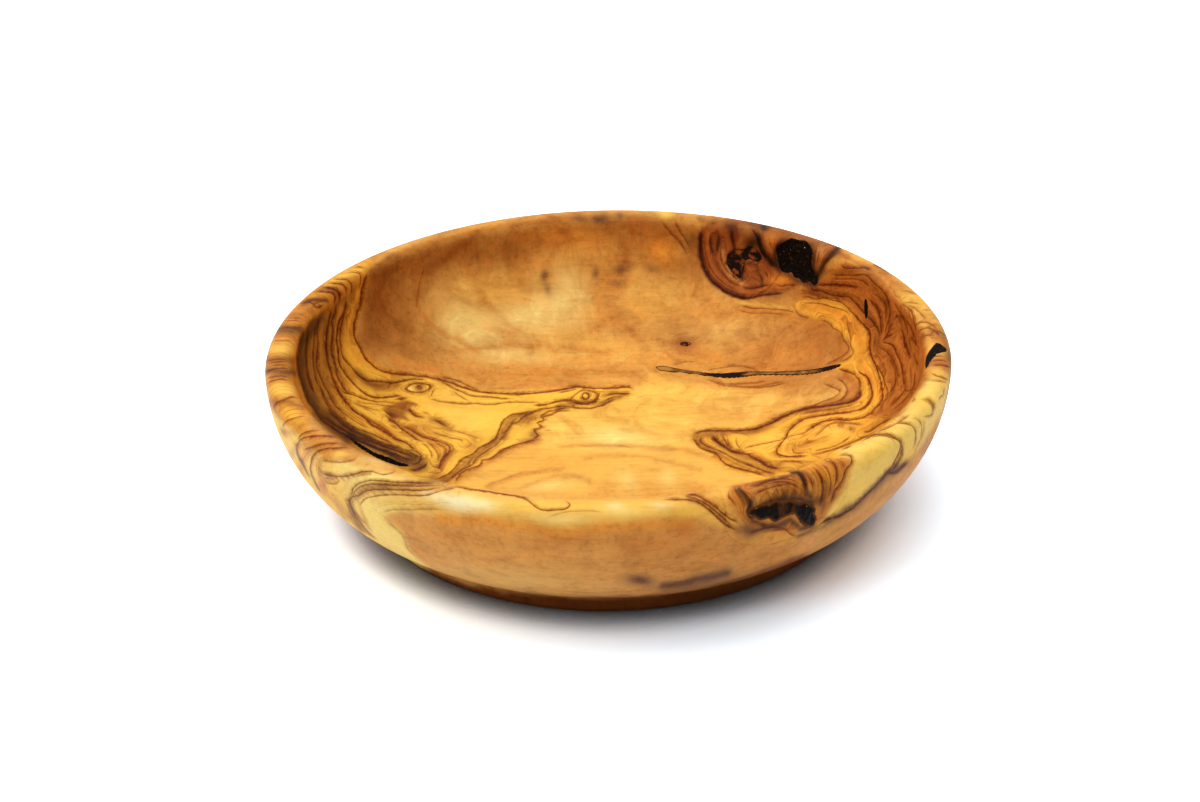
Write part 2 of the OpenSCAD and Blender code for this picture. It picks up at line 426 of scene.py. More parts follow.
LEFT_RIM_LINES = [
    (0.8, 1.6, [(351, 268), (360, 267), (368, 269.5)]),
    (0.7, 1.6, [(343, 273), (352, 272), (358, 273), (360.5, 276), (360, 284), (358, 292)]),
    (0.8, 1.6, [(331, 280), (340, 279.5), (347, 280), (351, 284), (351.5, 290), (350, 298)]),
    (0.9, 2.0, [(324, 284.5), (331, 283.5), (338, 283.5), (343, 285), (346, 290), (345.5, 298)]),
    (1.0, 2.6, [(320, 287), (328, 288), (334, 289), (338.5, 292), (339.5, 298), (338, 306)]),
    (0.9, 2.0, [(312, 293), (320, 291.5), (328, 292), (333, 294), (335, 299), (333, 307)]),
    (0.7, 1.8, [(306, 299), (314, 300), (321, 301.5), (327, 300)]),
    (0.8, 2.4, [(299, 304), (304, 303), (309, 301), (313, 304), (318, 302), (324, 303)]),
    (0.9, 3.2, [(310, 308), (315, 306.5), (320, 307), (325, 303.5)]),
    (0.6, 1.3, [(287, 318.5), (294, 318), (300, 318.5), (306, 321)]),
    (0.7, 1.3, [(284, 321), (292, 320.5), (299, 321), (304, 323.5)]),
    (0.7, 1.6, [(280, 328), (288, 327.5), (296, 328), (302, 327)]),
    (0.5, 1.3, [(273, 340), (281, 341), (288, 340.5), (294, 341)]),
    (0.6, 1.3, [(266, 361), (273, 359.5), (281, 359), (289, 360)]),
    (0.6, 1.3, [(265, 365), (272, 362.5), (280, 361.5), (289, 362)]),
    (0.6, 1.3, [(265, 369), (272, 366), (280, 365), (289, 365.5)]),
    (0.7, 1.6, [(265, 373), (272, 369.5), (281, 368), (290, 369)]),
    (0.8, 1.8, [(264, 381), (271, 377.5), (279, 376), (287, 377), (294, 379.5)]),
    (0.9, 2.2, [(265, 386.5), (270, 382), (278, 379.5), (286, 380), (294, 382)]),
]

LEFT_WALL_LINES = [
    (1.0, 2.4, [(368, 271), (363, 285), (360.5, 302), (355.5, 318), (353.5, 329), (355, 338), (360, 348),
                (365, 358), (373, 365.5), (380.5, 370.5), (391, 373), (404, 374.5), (421, 376), (437, 379),
                (452, 383), (462, 387), (472, 390), (484, 392.5), (500, 393.5), (522, 394), (547, 392),
                (560, 390), (570, 388), (578, 386.5), (587, 388), (600, 388.5), (613, 388), (628, 387),
                (634, 390.5)]),
    (0.8, 1.8, [(437, 375.5), (458, 381), (473, 388), (484, 393)]),
    (0.9, 2.0, [(347, 309), (343, 318), (340.5, 330), (340, 342), (343, 357), (349.5, 364.5), (357, 374),
                (366, 380.5), (380.5, 381.5), (393, 383), (403, 381), (413, 379), (420, 378)]),
    (1.0, 2.2, [(346, 296), (346, 302), (344, 312), (339.5, 320), (338, 327), (336.5, 340), (338, 349),
                (338.5, 359), (340.5, 367), (344, 372), (349.5, 379), (355, 385.5), (360.5, 390),
                (367, 395), (376, 397.5), (388, 397), (398, 396), (403, 394)]),
    (0.9, 2.0, [(336, 302), (335, 313), (331.5, 322), (333, 331), (331.5, 349), (334, 360), (336, 369),
                (337, 375.5), (340.5, 382), (344, 389), (349.5, 393.5), (356, 395.5)]),
    (1.0, 2.2, [(332, 307), (331, 313), (328.5, 322), (327, 331), (326, 344), (327, 354), (328.5, 365.5),
                (331.5, 373), (334, 381), (338.5, 389), (343, 399)]),
    (0.8, 2.0, [(320.5, 315.5), (317, 329), (318, 342), (317, 355.5), (317, 366.5), (320.5, 376.5),
                (324, 385.5), (327, 394)]),
    (0.8, 1.8, [(315, 322), (314, 338), (313, 354), (314, 369), (316, 380), (320.5, 391)]),
    (0.9, 2.4, [(309.5, 327), (307, 338), (306, 354), (307, 371), (310.5, 384), (315, 396.5)]),
    (1.0, 4.0, [(305, 329), (300, 344), (297.5, 360), (298.5, 372), (302, 384), (307, 398), (313, 408)]),
]

LEFT_FLOOR_LINES = [
    (0.8, 1.8, [(318, 380), (321.5, 391), (326, 402), (333, 412), (339.5, 418), (347, 423), (357, 429),
                (367, 432), (376, 435.5), (385, 440), (394, 445.5)]),
    (0.7, 1.6, [(321.5, 380), (328.5, 393), (333, 402), (339.5, 412)]),
    (1.0, 2.8, [(331.5, 380), (337, 389), (343, 398), (347, 403), (353, 410), (359.5, 414.5), (366, 419),
                (373, 425.5), (381, 429.5), (388.5, 433.5), (395, 439), (404, 442), (413, 448),
                (419, 451)]),
    (0.9, 2.0, [(339.5, 386.5), (344, 392), (351.5, 394.5), (361.5, 398), (373, 401), (383, 403)]),
    (0.7, 1.5, [(350.5, 401), (360.5, 405.5), (371.5, 409), (383, 412)]),
    (0.6, 1.4, [(349.5, 402), (362, 407), (375, 413)]),
    (1.0, 2.6, [(392, 399.5), (401, 399), (410, 397)]),
    (0.9, 2.2, [(384, 413), (389, 419), (395.5, 423), (402, 429), (410.5, 434.5), (417, 440), (425, 442)]),
    (0.8, 2.0, [(400, 425.5), (411, 430), (422, 436.5), (434.5, 440), (443, 443), (450, 446.5), (449, 452),
                (443, 458), (440, 465.5), (438, 471)]),
    (0.6, 1.4, [(418, 411), (426, 413), (433, 416.5)]),
    (0.8, 3.2, [(432, 417.5), (440, 422.5), (449, 428)]),
    (0.6, 1.4, [(451, 430), (462, 433), (473, 436.5), (481, 439.5)]),
    (0.7, 1.6, [(429, 431), (440, 434.5), (453, 438.5), (461, 440), (463, 444)]),
    (1.0, 2.6, [(405.5, 469), (412, 470), (418, 469.5), (424.5, 465.5), (428, 461)]),
    (0.7, 1.8, [(420, 441), (427, 447), (431, 453), (432, 460)]),
    (0.7, 1.8, [(350, 431), (362, 440), (376, 447), (392, 452), (404, 458), (416, 462)]),
    (0.7, 1.8, [(358, 434), (372, 441), (388, 446), (402, 451), (416, 456), (424, 460)]),
    (0.9, 3.0, [(382, 409), (387, 413), (392, 416), (388, 418)]),
    (0.9, 2.6, [(407, 405), (410, 409), (411, 412), (417, 416), (428, 419)]),
    (0.7, 1.8, [(425, 440), (433, 447), (438, 455), (438, 462)]),
    (0.7, 1.6, [(344, 400), (352, 409), (364, 416), (376, 424), (388, 432), (398, 439)]),
    (0.7, 1.6, [(330, 396), (334, 404), (341, 411), (349, 417), (360, 424), (372, 430)]),
    (0.8, 1.8, [(325, 404), (332, 414), (342, 422), (354, 430), (366, 436), (378, 441), (392, 447),
                (404, 451)]),
    (0.6, 1.4, [(352, 399), (362, 403), (374, 404), (386, 406), (398, 407)]),
    (0.6, 1.4, [(362, 398), (374, 401), (388, 402), (402, 404)]),
    (1.0, 2.0, [(312, 408), (322, 420), (338, 431), (356, 440), (376, 448), (396, 455), (412, 461)]),
    (1.0, 2.2, [(322, 414), (338, 427), (358, 437), (380, 445), (400, 452), (416, 458)]),
    (0.9, 1.6, [(336, 420), (354, 432), (376, 441), (396, 447), (412, 453), (424, 460)]),
    (0.9, 1.8, [(308, 398), (316, 411), (328, 421), (344, 431)]),
    (0.9, 2.0, [(404, 452), (412, 450), (419, 453), (421, 459), (416, 464), (408, 463)]),
    (0.8, 1.8, [(410, 455), (416, 457), (413, 461)]),
    (0.9, 2.2, [(573, 407.5), (560, 409), (548, 412), (541, 416), (544, 420), (537, 423), (543, 427),
                (534, 430), (538, 436), (529, 440)]),
    (0.8, 2.2, [(560, 406), (545, 409), (533, 412), (524, 416), (519, 421), (511, 425), (505, 432),
                (499, 437)]),
]

LEFT_EYE_LINES = [
    (0.9, 1.6, [(405, 389), (410, 385), (415.5, 383), (422, 383.5), (428, 384.5), (431, 386), (428, 390),
                (422, 392), (413, 392), (408, 390.5), (405, 389)]),
    (1.0, 3.4, [(416, 383.5), (418.5, 386), (421, 390)]),
    (0.8, 1.6, [(392, 383), (402, 380.5), (412, 379), (421, 379.5), (429, 380.5)]),
    (0.7, 1.5, [(436.5, 386.5), (433, 391), (431, 395.5), (427, 398.5)]),
    (0.7, 1.6, [(427, 398.5), (434.5, 400), (443, 402), (462, 404), (473, 403.5), (488, 404.5),
                (500, 403.5), (513, 402), (530, 402.5), (542, 402)]),
    (0.8, 1.6, [(438, 380), (446.5, 384), (451, 387), (461, 391.5), (468, 395), (476.5, 396.5), (488, 397),
                (502, 398.5), (513, 399)]),
    (0.6, 1.4, [(451, 390), (458, 394.5), (464.5, 399), (472, 401.5)]),
]

BUNDLE_LINES = [
    (0.9, 2.4, [(533, 410), (522, 413.5), (512, 414.5), (506.5, 418), (502, 423), (499, 430),
                (496.5, 436.5), (492, 441), (485.5, 445), (479, 448), (473, 454), (462, 459), (458, 464),
                (452, 471), (445.5, 475.5), (439, 478.5), (429, 478), (421, 475.5)]),
    (0.7, 1.8, [(516.5, 419), (512, 423), (508, 430), (503, 436.5), (499, 442), (491, 448), (484.5, 452),
                (476.5, 458), (471, 465.5), (462, 470), (454.5, 475.5), (449, 481)]),
    (0.9, 2.4, [(540, 439), (528, 441.5), (519, 443.5), (511, 446.5), (503, 450), (496.5, 454.5),
                (491, 458.5), (483, 460), (479, 465.5), (468, 469.5), (461, 473), (456.5, 480),
                (453, 485.5)]),
    (0.8, 2.4, [(538, 424), (542, 424), (546, 423.5)]),
    (0.4, 1.6, [(540, 430), (548, 430.5), (557, 430)]),
    (0.8, 2.0, [(538, 419.5), (544, 416.5), (551, 414.5), (558, 411), (564, 410.5), (574, 411.5)]),
    (0.3, 2.0, [(480, 490), (493, 483), (508, 478), (520, 473), (531, 471)]),
    (0.25, 2.0, [(574, 445.5), (591, 446), (613, 445.5), (636, 448)]),
]

RIGHT_EYE_LINES = [
    (0.8, 1.6, [(570, 399), (580, 391.5), (585.5, 390), (594.5, 392), (598, 394.5), (595.5, 399),
                (589, 403), (580, 402), (573, 400.5), (570, 399)]),
    (0.9, 1.8, [(582, 396), (583.5, 393), (587, 393), (589, 396), (587, 399), (583.5, 399), (582, 396)]),
    (1.0, 3.0, [(530, 405.5), (546.5, 404.5), (556.5, 402), (568, 400), (574, 403), (585.5, 404),
                (594.5, 401), (598, 396.5), (599.5, 391)]),
    (0.8, 1.8, [(556, 394), (566.5, 391.5), (574, 389.5), (581, 388.5)]),
    (0.9, 2.2, [(533, 410), (542, 408.5), (551, 408), (560, 406.5), (580, 408), (591, 408.5), (596.5, 407),
                (603, 405), (610, 401.5), (617, 398.5)]),
    (0.7, 1.6, [(602, 398), (609, 395), (617, 393.5), (626, 394), (633, 392)]),
    (0.6, 1.4, [(603, 402), (611, 398), (620, 396.5)]),
]

CRACK_LINES = [
    (0.5, 1.8, [(703, 371.5), (720, 368), (737, 366), (750, 368), (759, 371.5)]),
    (0.6, 1.8, [(710, 381), (718, 383.5), (728, 385.5), (740, 386.5), (751, 387.5), (768, 386.5),
                (780, 384.5), (790, 381.5)]),
    (0.35, 1.6, [(668, 366), (684, 362), (700, 361)]),
]

RIGHT_BAND_LINES = [
    (1.0, 3.0, [(693, 435.5), (700, 432), (711, 430.5), (738, 430.5), (751, 429.5), (761, 427), (771, 423),
                (780, 418.5), (790, 413.5), (799, 410.5), (810, 408), (831, 405.5), (842, 403.5),
                (855.5, 400), (860, 394.5), (859.5, 386)]),
    (0.9, 2.4, [(693, 436.5), (695.5, 442), (701, 448), (709, 451), (718, 454.5), (721, 460),
                (726.5, 464.5), (736.5, 468), (746.5, 470.5), (756.5, 473), (768, 476.5)]),
    (0.8, 2.0, [(702, 435.5), (700, 441), (705.5, 445.5), (715.5, 449.5), (724, 453), (732, 458),
                (742, 462), (753, 466.5), (764, 471), (779, 475)]),
    (1.0, 3.6, [(711, 434.5), (718, 442), (724, 446.5), (731, 450.5), (740, 453), (749, 455.5),
                (756.5, 459), (762, 462), (766.5, 465.5), (773, 468), (783, 469.5)]),
    (0.8, 2.0, [(722, 433), (725.5, 441), (731, 449)]),
    (0.6, 1.4, [(736.5, 435.5), (736, 442), (740, 449), (744, 452)]),
    (0.7, 1.5, [(743, 451), (745.5, 448), (751, 446.5), (762, 444), (773, 442), (783, 439), (795.5, 435),
                (804, 433), (810, 429)]),
    (1.0, 2.6, [(810, 455.5), (790, 456.5), (780, 455.5), (776.5, 452), (778, 448), (781, 443),
                (786.5, 437), (789, 430.5), (796, 424), (808, 418), (824, 415), (841, 413), (858, 410.5),
                (866, 406.5), (871, 400), (872, 390), (867, 377), (860, 373), (857, 368)]),
    (1.0, 2.4, [(803, 434.5), (810, 429), (822, 422), (836, 419.5), (852, 420), (867, 415.5), (874, 410),
                (882, 400), (882, 387), (876.5, 367), (872, 358), (870, 347), (870, 333), (866.5, 327),
                (860, 321), (855.5, 315.5), (851, 312)]),
    (0.7, 1.6, [(813, 438), (819, 433), (828, 425.5), (836, 422), (849, 423), (863, 424.5)]),
    (0.8, 1.8, [(875.5, 408), (884, 402), (888, 394), (887, 388), (881, 372), (875.5, 362)]),
    (0.7, 1.6, [(792, 445.5), (793, 451), (795.5, 453), (810, 452)]),
    (0.6, 1.5, [(800, 445.5), (810, 442), (821, 440)]),
    (0.7, 1.6, [(779, 465.5), (781, 462), (789, 461.5), (798, 462), (804, 464.5), (811, 466)]),
    (0.9, 2.6, [(836, 368), (849, 372), (855.5, 375.5), (860, 382), (859.5, 391)]),
    (0.7, 1.8, [(822, 383), (831, 386.5), (840, 391), (835.5, 396.5), (824, 401), (808, 408)]),
    (0.7, 1.8, [(835, 377), (843, 382), (847, 389), (845, 396), (838, 401), (826, 404)]),
    (0.5, 1.4, [(806, 412), (826, 410), (846, 407), (858, 403)]),
    (0.6, 1.5, [(817, 430), (826, 425), (838, 423), (850, 424), (864, 425)]),
    (0.6, 1.4, [(703, 378), (715, 382), (730, 384), (748, 383.5), (770, 381)]),
    (0.5, 1.3, [(712, 380), (722, 385.5), (740, 387), (760, 386), (785, 381)]),
    (0.8, 1.8, [(810, 455.5), (822, 453), (840, 447.5), (858, 440), (876, 432.5), (894, 425), (912, 413)]),
    (0.7, 1.6, [(810, 452), (831, 447.5), (846, 440), (851, 434)]),
]

RIGHT_WALL_LINES = [
    (0.9, 2.0, [(808.5, 286), (813, 290.5), (821, 290.5), (828.5, 294), (840, 296.5), (848.5, 296.5),
                (853, 300.5), (860, 308), (866, 315), (873, 322), (878.5, 331), (880, 339)]),
    (1.0, 3.2, [(815, 285), (828, 284.5), (840, 285), (850, 286), (861, 287.5)]),
    (0.8, 1.8, [(831, 275), (846, 275), (854, 275.5), (866, 275), (873, 282), (881, 289), (887, 298),
                (890, 308), (889, 319), (886, 328), (884, 339)]),
    (0.7, 1.6, [(871, 292), (880, 298), (886, 305)]),
    (0.9, 2.6, [(867, 297), (873, 303), (878.5, 310.5), (881, 324), (881, 339)]),
    (0.8, 1.8, [(893, 322), (897, 316), (903, 319), (907, 329), (908.5, 339)]),
    (0.8, 1.8, [(901, 303.5), (911, 310.5), (914, 322), (917, 333.5)]),
    (0.9, 2.0, [(880, 342), (886.5, 343), (893, 345.5), (896.5, 353), (901, 364), (903, 375.5),
                (904.5, 389)]),
    (0.8, 1.8, [(878, 347), (885.5, 351), (892, 358), (896.5, 369), (900, 380)]),
    (0.7, 1.6, [(875.5, 333), (874.5, 342), (873, 351)]),
    (1.0, 3.0, [(903, 330), (904.5, 342), (908, 351), (911, 357)]),
    (0.8, 1.8, [(911, 330), (912, 338), (918, 347)]),
    (0.7, 1.6, [(913, 351), (915.5, 360), (919, 366)]),
    (0.6, 1.8, [(818, 320), (828, 322), (833, 328), (840, 332), (844, 340), (849, 349), (842, 356.5),
                (831, 362), (822, 366)]),
    (0.6, 1.6, [(846.5, 335.5), (852, 349), (853, 353), (846.5, 359), (838, 362)]),
    (0.5, 1.6, [(793, 305.5), (800, 315.5), (813, 318)]),
    (0.8, 1.8, [(800, 297), (808, 297), (816, 299), (824, 298), (832, 300), (842, 303), (848, 308),
                (853, 313), (858, 319), (863, 325), (868, 331), (870, 338), (870, 346)]),
    (0.7, 1.5, [(802, 303), (812, 303), (822, 304), (832, 307), (840, 309), (847, 312), (850, 317)]),
    (0.6, 1.5, [(796, 291), (804, 291), (812, 294), (822, 297), (833, 298), (843, 300)]),
    (0.9, 2.0, [(894, 323), (889, 326), (889, 331), (885, 338), (891, 335), (895, 331)]),
    (0.8, 2.0, [(893, 300), (897, 308), (901, 314), (907, 322), (912, 330), (915, 338), (918, 346)]),
    (0.7, 1.7, [(898, 326), (902, 331), (904, 338), (905, 346)]),
    (0.7, 1.7, [(907, 332), (909, 340), (911, 348)]),
    (0.7, 1.8, [(888, 356), (892, 362), (895, 370), (896, 378), (894, 386), (890, 392), (887, 398)]),
    (0.6, 1.4, [(905, 365), (905, 378), (905, 390)]),
    (0.6, 1.4, [(910, 365), (911, 378), (910, 390), (906, 396)]),
    (0.7, 1.6, [(903, 390), (908, 391), (913, 390), (917, 388)]),
    (0.8, 2.0, [(909, 396), (913, 392), (914, 399), (911, 404)]),
    (0.8, 2.0, [(863, 430), (868, 432), (880, 424), (892, 418), (901, 412)]),
    (0.7, 1.8, [(880, 296), (884, 301), (886, 308), (886, 316), (885, 325)]),
    (0.6, 1.5, [(846, 316), (848, 326), (850, 336), (851, 346), (853, 352)]),
    (0.8, 2.2, [(838, 263), (846, 268), (856, 268), (866, 268), (872, 272)]),
    (0.7, 1.8, [(829, 279), (842, 279), (855, 279), (864, 282), (871, 288)]),
    (0.7, 1.6, [(887, 398), (883, 404), (876, 410)]),
    (0.7, 1.6, [(899, 355), (902, 367), (906, 380), (904, 391), (893, 404)]),
    (0.6, 1.5, [(914, 372), (914, 384), (909, 394), (901, 403), (890, 412)]),
    (0.7, 1.6, [(880, 368), (884, 380), (883, 392), (876, 403)]),
]

RIGHT_RIM_LINES = [
    (0.8, 1.8, [(929, 372), (935.5, 375.5), (943, 378), (949, 380.5)]),
    (0.6, 1.6, [(926.5, 380.5), (932, 381), (939, 381)]),
    (0.7, 1.6, [(926, 331), (931, 330.5), (935.5, 332), (940, 338)]),
    (0.6, 1.6, [(927, 336), (931, 337), (936, 340)]),
    (0.7, 1.8, [(945, 386), (944, 391), (943, 395.5), (939.5, 397.5), (939.5, 405)]),
    (0.7, 1.8, [(917, 398.5), (926.5, 401), (932, 405.5), (933, 412), (930, 415.5), (922, 416.5)]),
    (0.8, 2.0, [(889, 425), (902, 423), (911, 425.5), (915.5, 432), (915, 442), (912, 452)]),
    (0.6, 1.6, [(922, 416.5), (924, 426.5), (922, 435.5), (918, 444), (913, 454)]),
    (0.9, 2.0, [(838, 451), (852, 445.5), (863, 440.5), (872, 435.5), (880, 435), (889, 436.5),
                (895.5, 439), (900, 443), (899.5, 451), (895.5, 460), (891, 468), (885.5, 473),
                (879, 480)]),
    (1.0, 3.0, [(818, 525), (829, 519), (838, 516.5), (846.5, 512), (853, 508), (860, 501), (869, 492),
                (878, 483), (886.5, 474), (896.5, 472), (903, 466.5), (910, 461)]),
    (0.6, 1.6, [(860, 441), (872, 437), (882, 436), (892, 439), (896, 446)]),
    (0.6, 2.0, [(925, 381), (935, 381), (945, 382), (950, 384)]),
    (0.9, 3.2, [(863, 438), (876, 435), (890, 435), (901, 443), (901, 455), (895, 466), (888, 474)]),
    (0.8, 3.0, [(918, 399), (928, 400), (933, 405), (931, 416)]),
    (0.6, 2.0, [(909, 418), (918, 420), (922, 430), (918, 442)]),
    (0.7, 1.8, [(914, 326), (922, 322), (931, 324), (938, 330)]),
    (0.7, 1.8, [(918, 332), (926, 328), (934, 330), (941, 337)]),
    (0.7, 1.6, [(921, 338), (929, 335), (936, 338)]),
    (0.6, 1.6, [(905, 305), (914, 308), (921, 314), (926, 321)]),
    (0.8, 1.6, [(927, 359), (936, 356), (947, 357)]),
    (0.8, 1.6, [(928, 363), (938, 360), (949, 362)]),
    (0.9, 1.8, [(929, 367), (940, 365), (951, 367)]),
    (0.7, 1.5, [(925, 329), (934, 324), (944, 329)]),
    (0.7, 1.5, [(928, 336), (935, 331), (943, 334), (947, 340)]),
    (0.7, 1.5, [(919, 310), (928, 310), (937, 312)]),
    (0.7, 1.5, [(870, 261), (881, 268), (891, 274)]),
    (0.6, 1.4, [(898, 293), (906, 291), (919, 296)]),
    (0.6, 1.4, [(902, 302), (913, 303), (924, 305)]),
]

FRONT_KNOT_LINES = [
    (0.9, 2.0, [(836.5, 456.5), (844, 454.5), (850, 455.5), (852, 460), (850, 465.5), (845.5, 470),
                (843, 478), (840, 484), (835.5, 490), (832, 499), (829, 507)]),
    (0.6, 1.5, [(838, 460), (843, 463), (844, 469)]),
    (0.8, 1.8, [(828, 459.5), (833, 463), (836.5, 471), (835.5, 482), (832, 492)]),
    (0.8, 1.8, [(820, 463), (826.5, 469), (830, 478), (830, 489), (826.5, 500)]),
    (0.9, 2.2, [(811, 466.5), (816.5, 471), (821, 478), (823, 488), (821, 500), (819, 508)]),
    (0.9, 2.2, [(804, 471), (809, 477), (812, 484), (813, 493)]),
    (1.0, 4.0, [(794, 471), (800, 475), (804, 482), (806, 492)]),
    (0.9, 2.6, [(737.5, 487.5), (745, 494), (750, 502.5), (747.5, 511), (750, 518)]),
    (0.7, 1.6, [(730, 489), (728, 496), (734, 502.5), (737.5, 510)]),
    (0.9, 2.6, [(747, 488), (757, 485), (769, 481), (782, 478), (794, 475)]),
    (0.7, 1.8, [(752, 496), (761, 491), (774, 487), (788, 484), (799, 484)]),
    (0.9, 2.2, [(660, 500), (680, 499.5), (695, 501), (704, 506), (712.5, 512.5), (720, 520), (730, 527.5),
                (738, 530)]),
    (0.9, 2.2, [(681, 497), (692.5, 494.5), (702, 498), (710, 503), (717.5, 509), (726, 516), (735, 521),
                (741, 525)]),
    (0.7, 1.6, [(685, 495.5), (696, 496), (706, 500), (714, 504), (723, 514.5)]),
    (1.0, 2.4, [(775, 485), (777, 491), (778, 497)]),
    (0.8, 1.5, [(781, 487), (783, 493), (784, 498)]),
    (0.7, 1.3, [(786, 487), (789, 493), (790, 497)]),
    (0.9, 1.8, [(767, 488), (766, 494), (764, 499)]),
    (0.8, 1.6, [(768, 484), (778, 482), (788, 483), (797, 487), (801, 492)]),
    (0.7, 1.4, [(772, 481), (784, 479), (795, 481), (802, 486)]),
    (0.7, 1.4, [(780, 477), (790, 476), (799, 479)]),
    (0.7, 1.8, [(745, 534), (755, 531), (765, 528), (775, 527), (785, 529), (792, 535), (799, 536)]),
    (0.6, 1.5, [(768, 533), (778, 529), (788, 531)]),
    (0.6, 1.5, [(733, 487), (737, 493), (741, 499), (744, 505)]),
    (0.9, 2.0, [(676, 494), (690, 497), (703, 502), (713, 509), (722, 517), (732, 526)]),
]

FRONT_LEFT_LINES = [
    (0.8, 2.0, [(299, 398), (290.5, 397), (284, 400), (277, 403), (271, 410)]),
    (0.8, 2.0, [(308, 416.5), (302, 416), (295, 418), (287, 421), (282, 427)]),
    (0.8, 2.0, [(322, 430), (310.5, 431), (302, 434), (297, 441)]),
    (0.9, 2.0, [(336, 436.5), (322, 436), (307, 437), (299.5, 440.5), (297, 446.5), (298, 455.5),
                (302, 462), (306, 471), (312, 481)]),
    (0.8, 2.0, [(343, 443), (332, 443), (320.5, 444.5), (313, 447), (303, 450)]),
    (0.9, 2.0, [(352, 448), (340.5, 448), (327, 448.5), (317, 452), (312, 459), (310.5, 469), (313, 478),
                (317, 486.5), (323, 496)]),
    (0.6, 2.4, [(320.5, 460), (333, 462), (344, 462), (353, 460), (358, 455)]),
    (0.8, 1.8, [(321, 473.5), (330.5, 475.5), (337, 476.5), (347, 476), (355, 474), (364, 471.5),
                (373, 472), (383, 474.5), (392, 473), (396, 469.5)]),
    (0.7, 1.6, [(324, 482), (332, 484), (337, 483), (341, 478.5)]),
    (0.9, 2.0, [(350.5, 498), (353, 489), (358, 484), (367, 481), (377, 480.5), (394, 482), (425, 483),
                (438, 484)]),
    (0.7, 1.6, [(352, 497), (357, 489), (366, 485), (378, 484), (395, 485.5), (425, 486), (442, 485)]),
    (0.8, 1.8, [(380, 541), (371, 535), (364, 527.5), (360, 521), (356, 517), (352, 509), (349, 502),
                (352, 497), (359, 495.5), (366, 491), (377, 489.5), (400, 490), (425, 490), (440, 487.5)]),
    (0.8, 1.8, [(359, 507), (364, 500), (373, 496.5), (386, 495), (405, 495), (424, 495.5), (436, 492.5),
                (446, 489.5), (460, 487)]),
    (0.9, 2.0, [(448, 487), (460, 487), (470, 489.5), (486, 490.5), (494, 493), (505, 494), (520, 497),
                (525, 499), (532.5, 504), (539, 509), (545, 510.5), (555, 510), (565, 509), (570, 505.5),
                (568, 502), (562, 499.5)]),
    (0.8, 2.6, [(545, 502), (547, 502.5), (549, 502)]),
    (0.7, 1.6, [(340, 502), (342, 507), (345, 512)]),
    (0.4, 2.0, [(382.5, 514), (390, 510), (407.5, 509.5), (442.5, 509)]),
    (0.4, 2.0, [(384, 520), (392.5, 526), (400, 532.5), (405, 540), (407.5, 549), (416, 556)]),
    (0.35, 1.6, [(545, 519), (565, 512), (590, 511), (606, 513)]),
]

BACK_KNOT_LINES = [
    (1.0, 3.4, [(702.5, 229), (700.5, 237.5), (700, 247.5), (701, 259), (705, 270), (711, 280),
                (720, 287.5), (730, 294), (740, 297.5), (750, 298), (760, 295.5), (772.5, 294),
                (786, 293)]),
    (0.8, 1.8, [(711, 234), (711, 244), (712.5, 252)]),
    (0.8, 1.8, [(720, 243), (721, 257.5), (725, 267.5), (731, 277)]),
    (0.7, 1.8, [(739, 287), (752.5, 288), (765, 286), (774, 285)]),
    (0.8, 2.2, [(728, 270.5), (735, 277.5), (741, 281)]),
    (0.8, 2.2, [(744, 259), (747, 256), (750, 255), (755, 262)]),
    (1.0, 3.4, [(750, 227), (756, 234), (759, 241), (760, 249), (765, 255), (770, 259), (772.5, 265),
                (778, 268)]),
    (0.7, 2.0, [(815, 282), (820, 271), (825, 264), (829, 259), (839, 251)]),
    (0.6, 2.0, [(660, 219), (665, 226), (670, 232.5), (677.5, 239), (682.5, 246), (688, 256)]),
    (0.6, 2.0, [(675, 217.5), (676, 224), (681, 232.5), (686, 241), (691, 250)]),
    (0.35, 2.0, [(425, 265), (419, 285), (416, 311)]),
    (1.0, 3.6, [(727, 262), (728, 256), (735, 252), (744, 249)]),
    (1.0, 3.6, [(744, 258), (743, 268), (741, 277)]),
    (0.9, 2.4, [(731, 230), (733, 240), (734, 248)]),
    (0.9, 2.2, [(720, 237), (719, 244), (717, 250)]),
    (0.7, 1.6, [(727, 266), (733, 268), (739, 272)]),
    (0.7, 1.6, [(745, 256), (750, 255), (755, 258), (752, 262), (746, 264)]),
    (0.7, 1.6, [(757, 272), (762, 279), (762, 286)]),
    (0.7, 1.6, [(761, 268), (767, 275), (768, 283)]),
    (0.7, 1.8, [(772, 281), (780, 286), (790, 285), (800, 286)]),
    (0.6, 1.5, [(816, 245), (815, 256), (813, 268)]),
    (0.6, 1.5, [(820, 247), (818, 258), (816, 268)]),
    (0.7, 1.6, [(782, 238), (778, 245), (775, 253)]),
    (0.6, 1.5, [(769, 236), (770, 244), (773, 252)]),
    (0.6, 1.6, [(706, 232), (705, 244), (706, 256), (710, 267), (717, 277), (727, 285), (738, 290)]),
    (0.5, 1.6, [(714, 256), (718, 266), (724, 275), (733, 283), (744, 287)]),
    (0.6, 1.6, [(738, 305), (752, 308), (768, 309), (784, 310), (798, 313)]),
    (0.5, 1.4, [(735, 309), (750, 313), (768, 313), (786, 315)]),
]

LINE_FAMILIES = [
    LEFT_RIM_LINES, LEFT_WALL_LINES, LEFT_FLOOR_LINES, LEFT_EYE_LINES, BUNDLE_LINES, RIGHT_EYE_LINES,
    CRACK_LINES, RIGHT_BAND_LINES, RIGHT_WALL_LINES, RIGHT_RIM_LINES, FRONT_KNOT_LINES, FRONT_LEFT_LINES,
    BACK_KNOT_LINES,
]

# Ground colours, painted one over another: colour, strength, kind of shape and its values in pixels

GROUND = TAN
UNSEEN = PINK_TAN

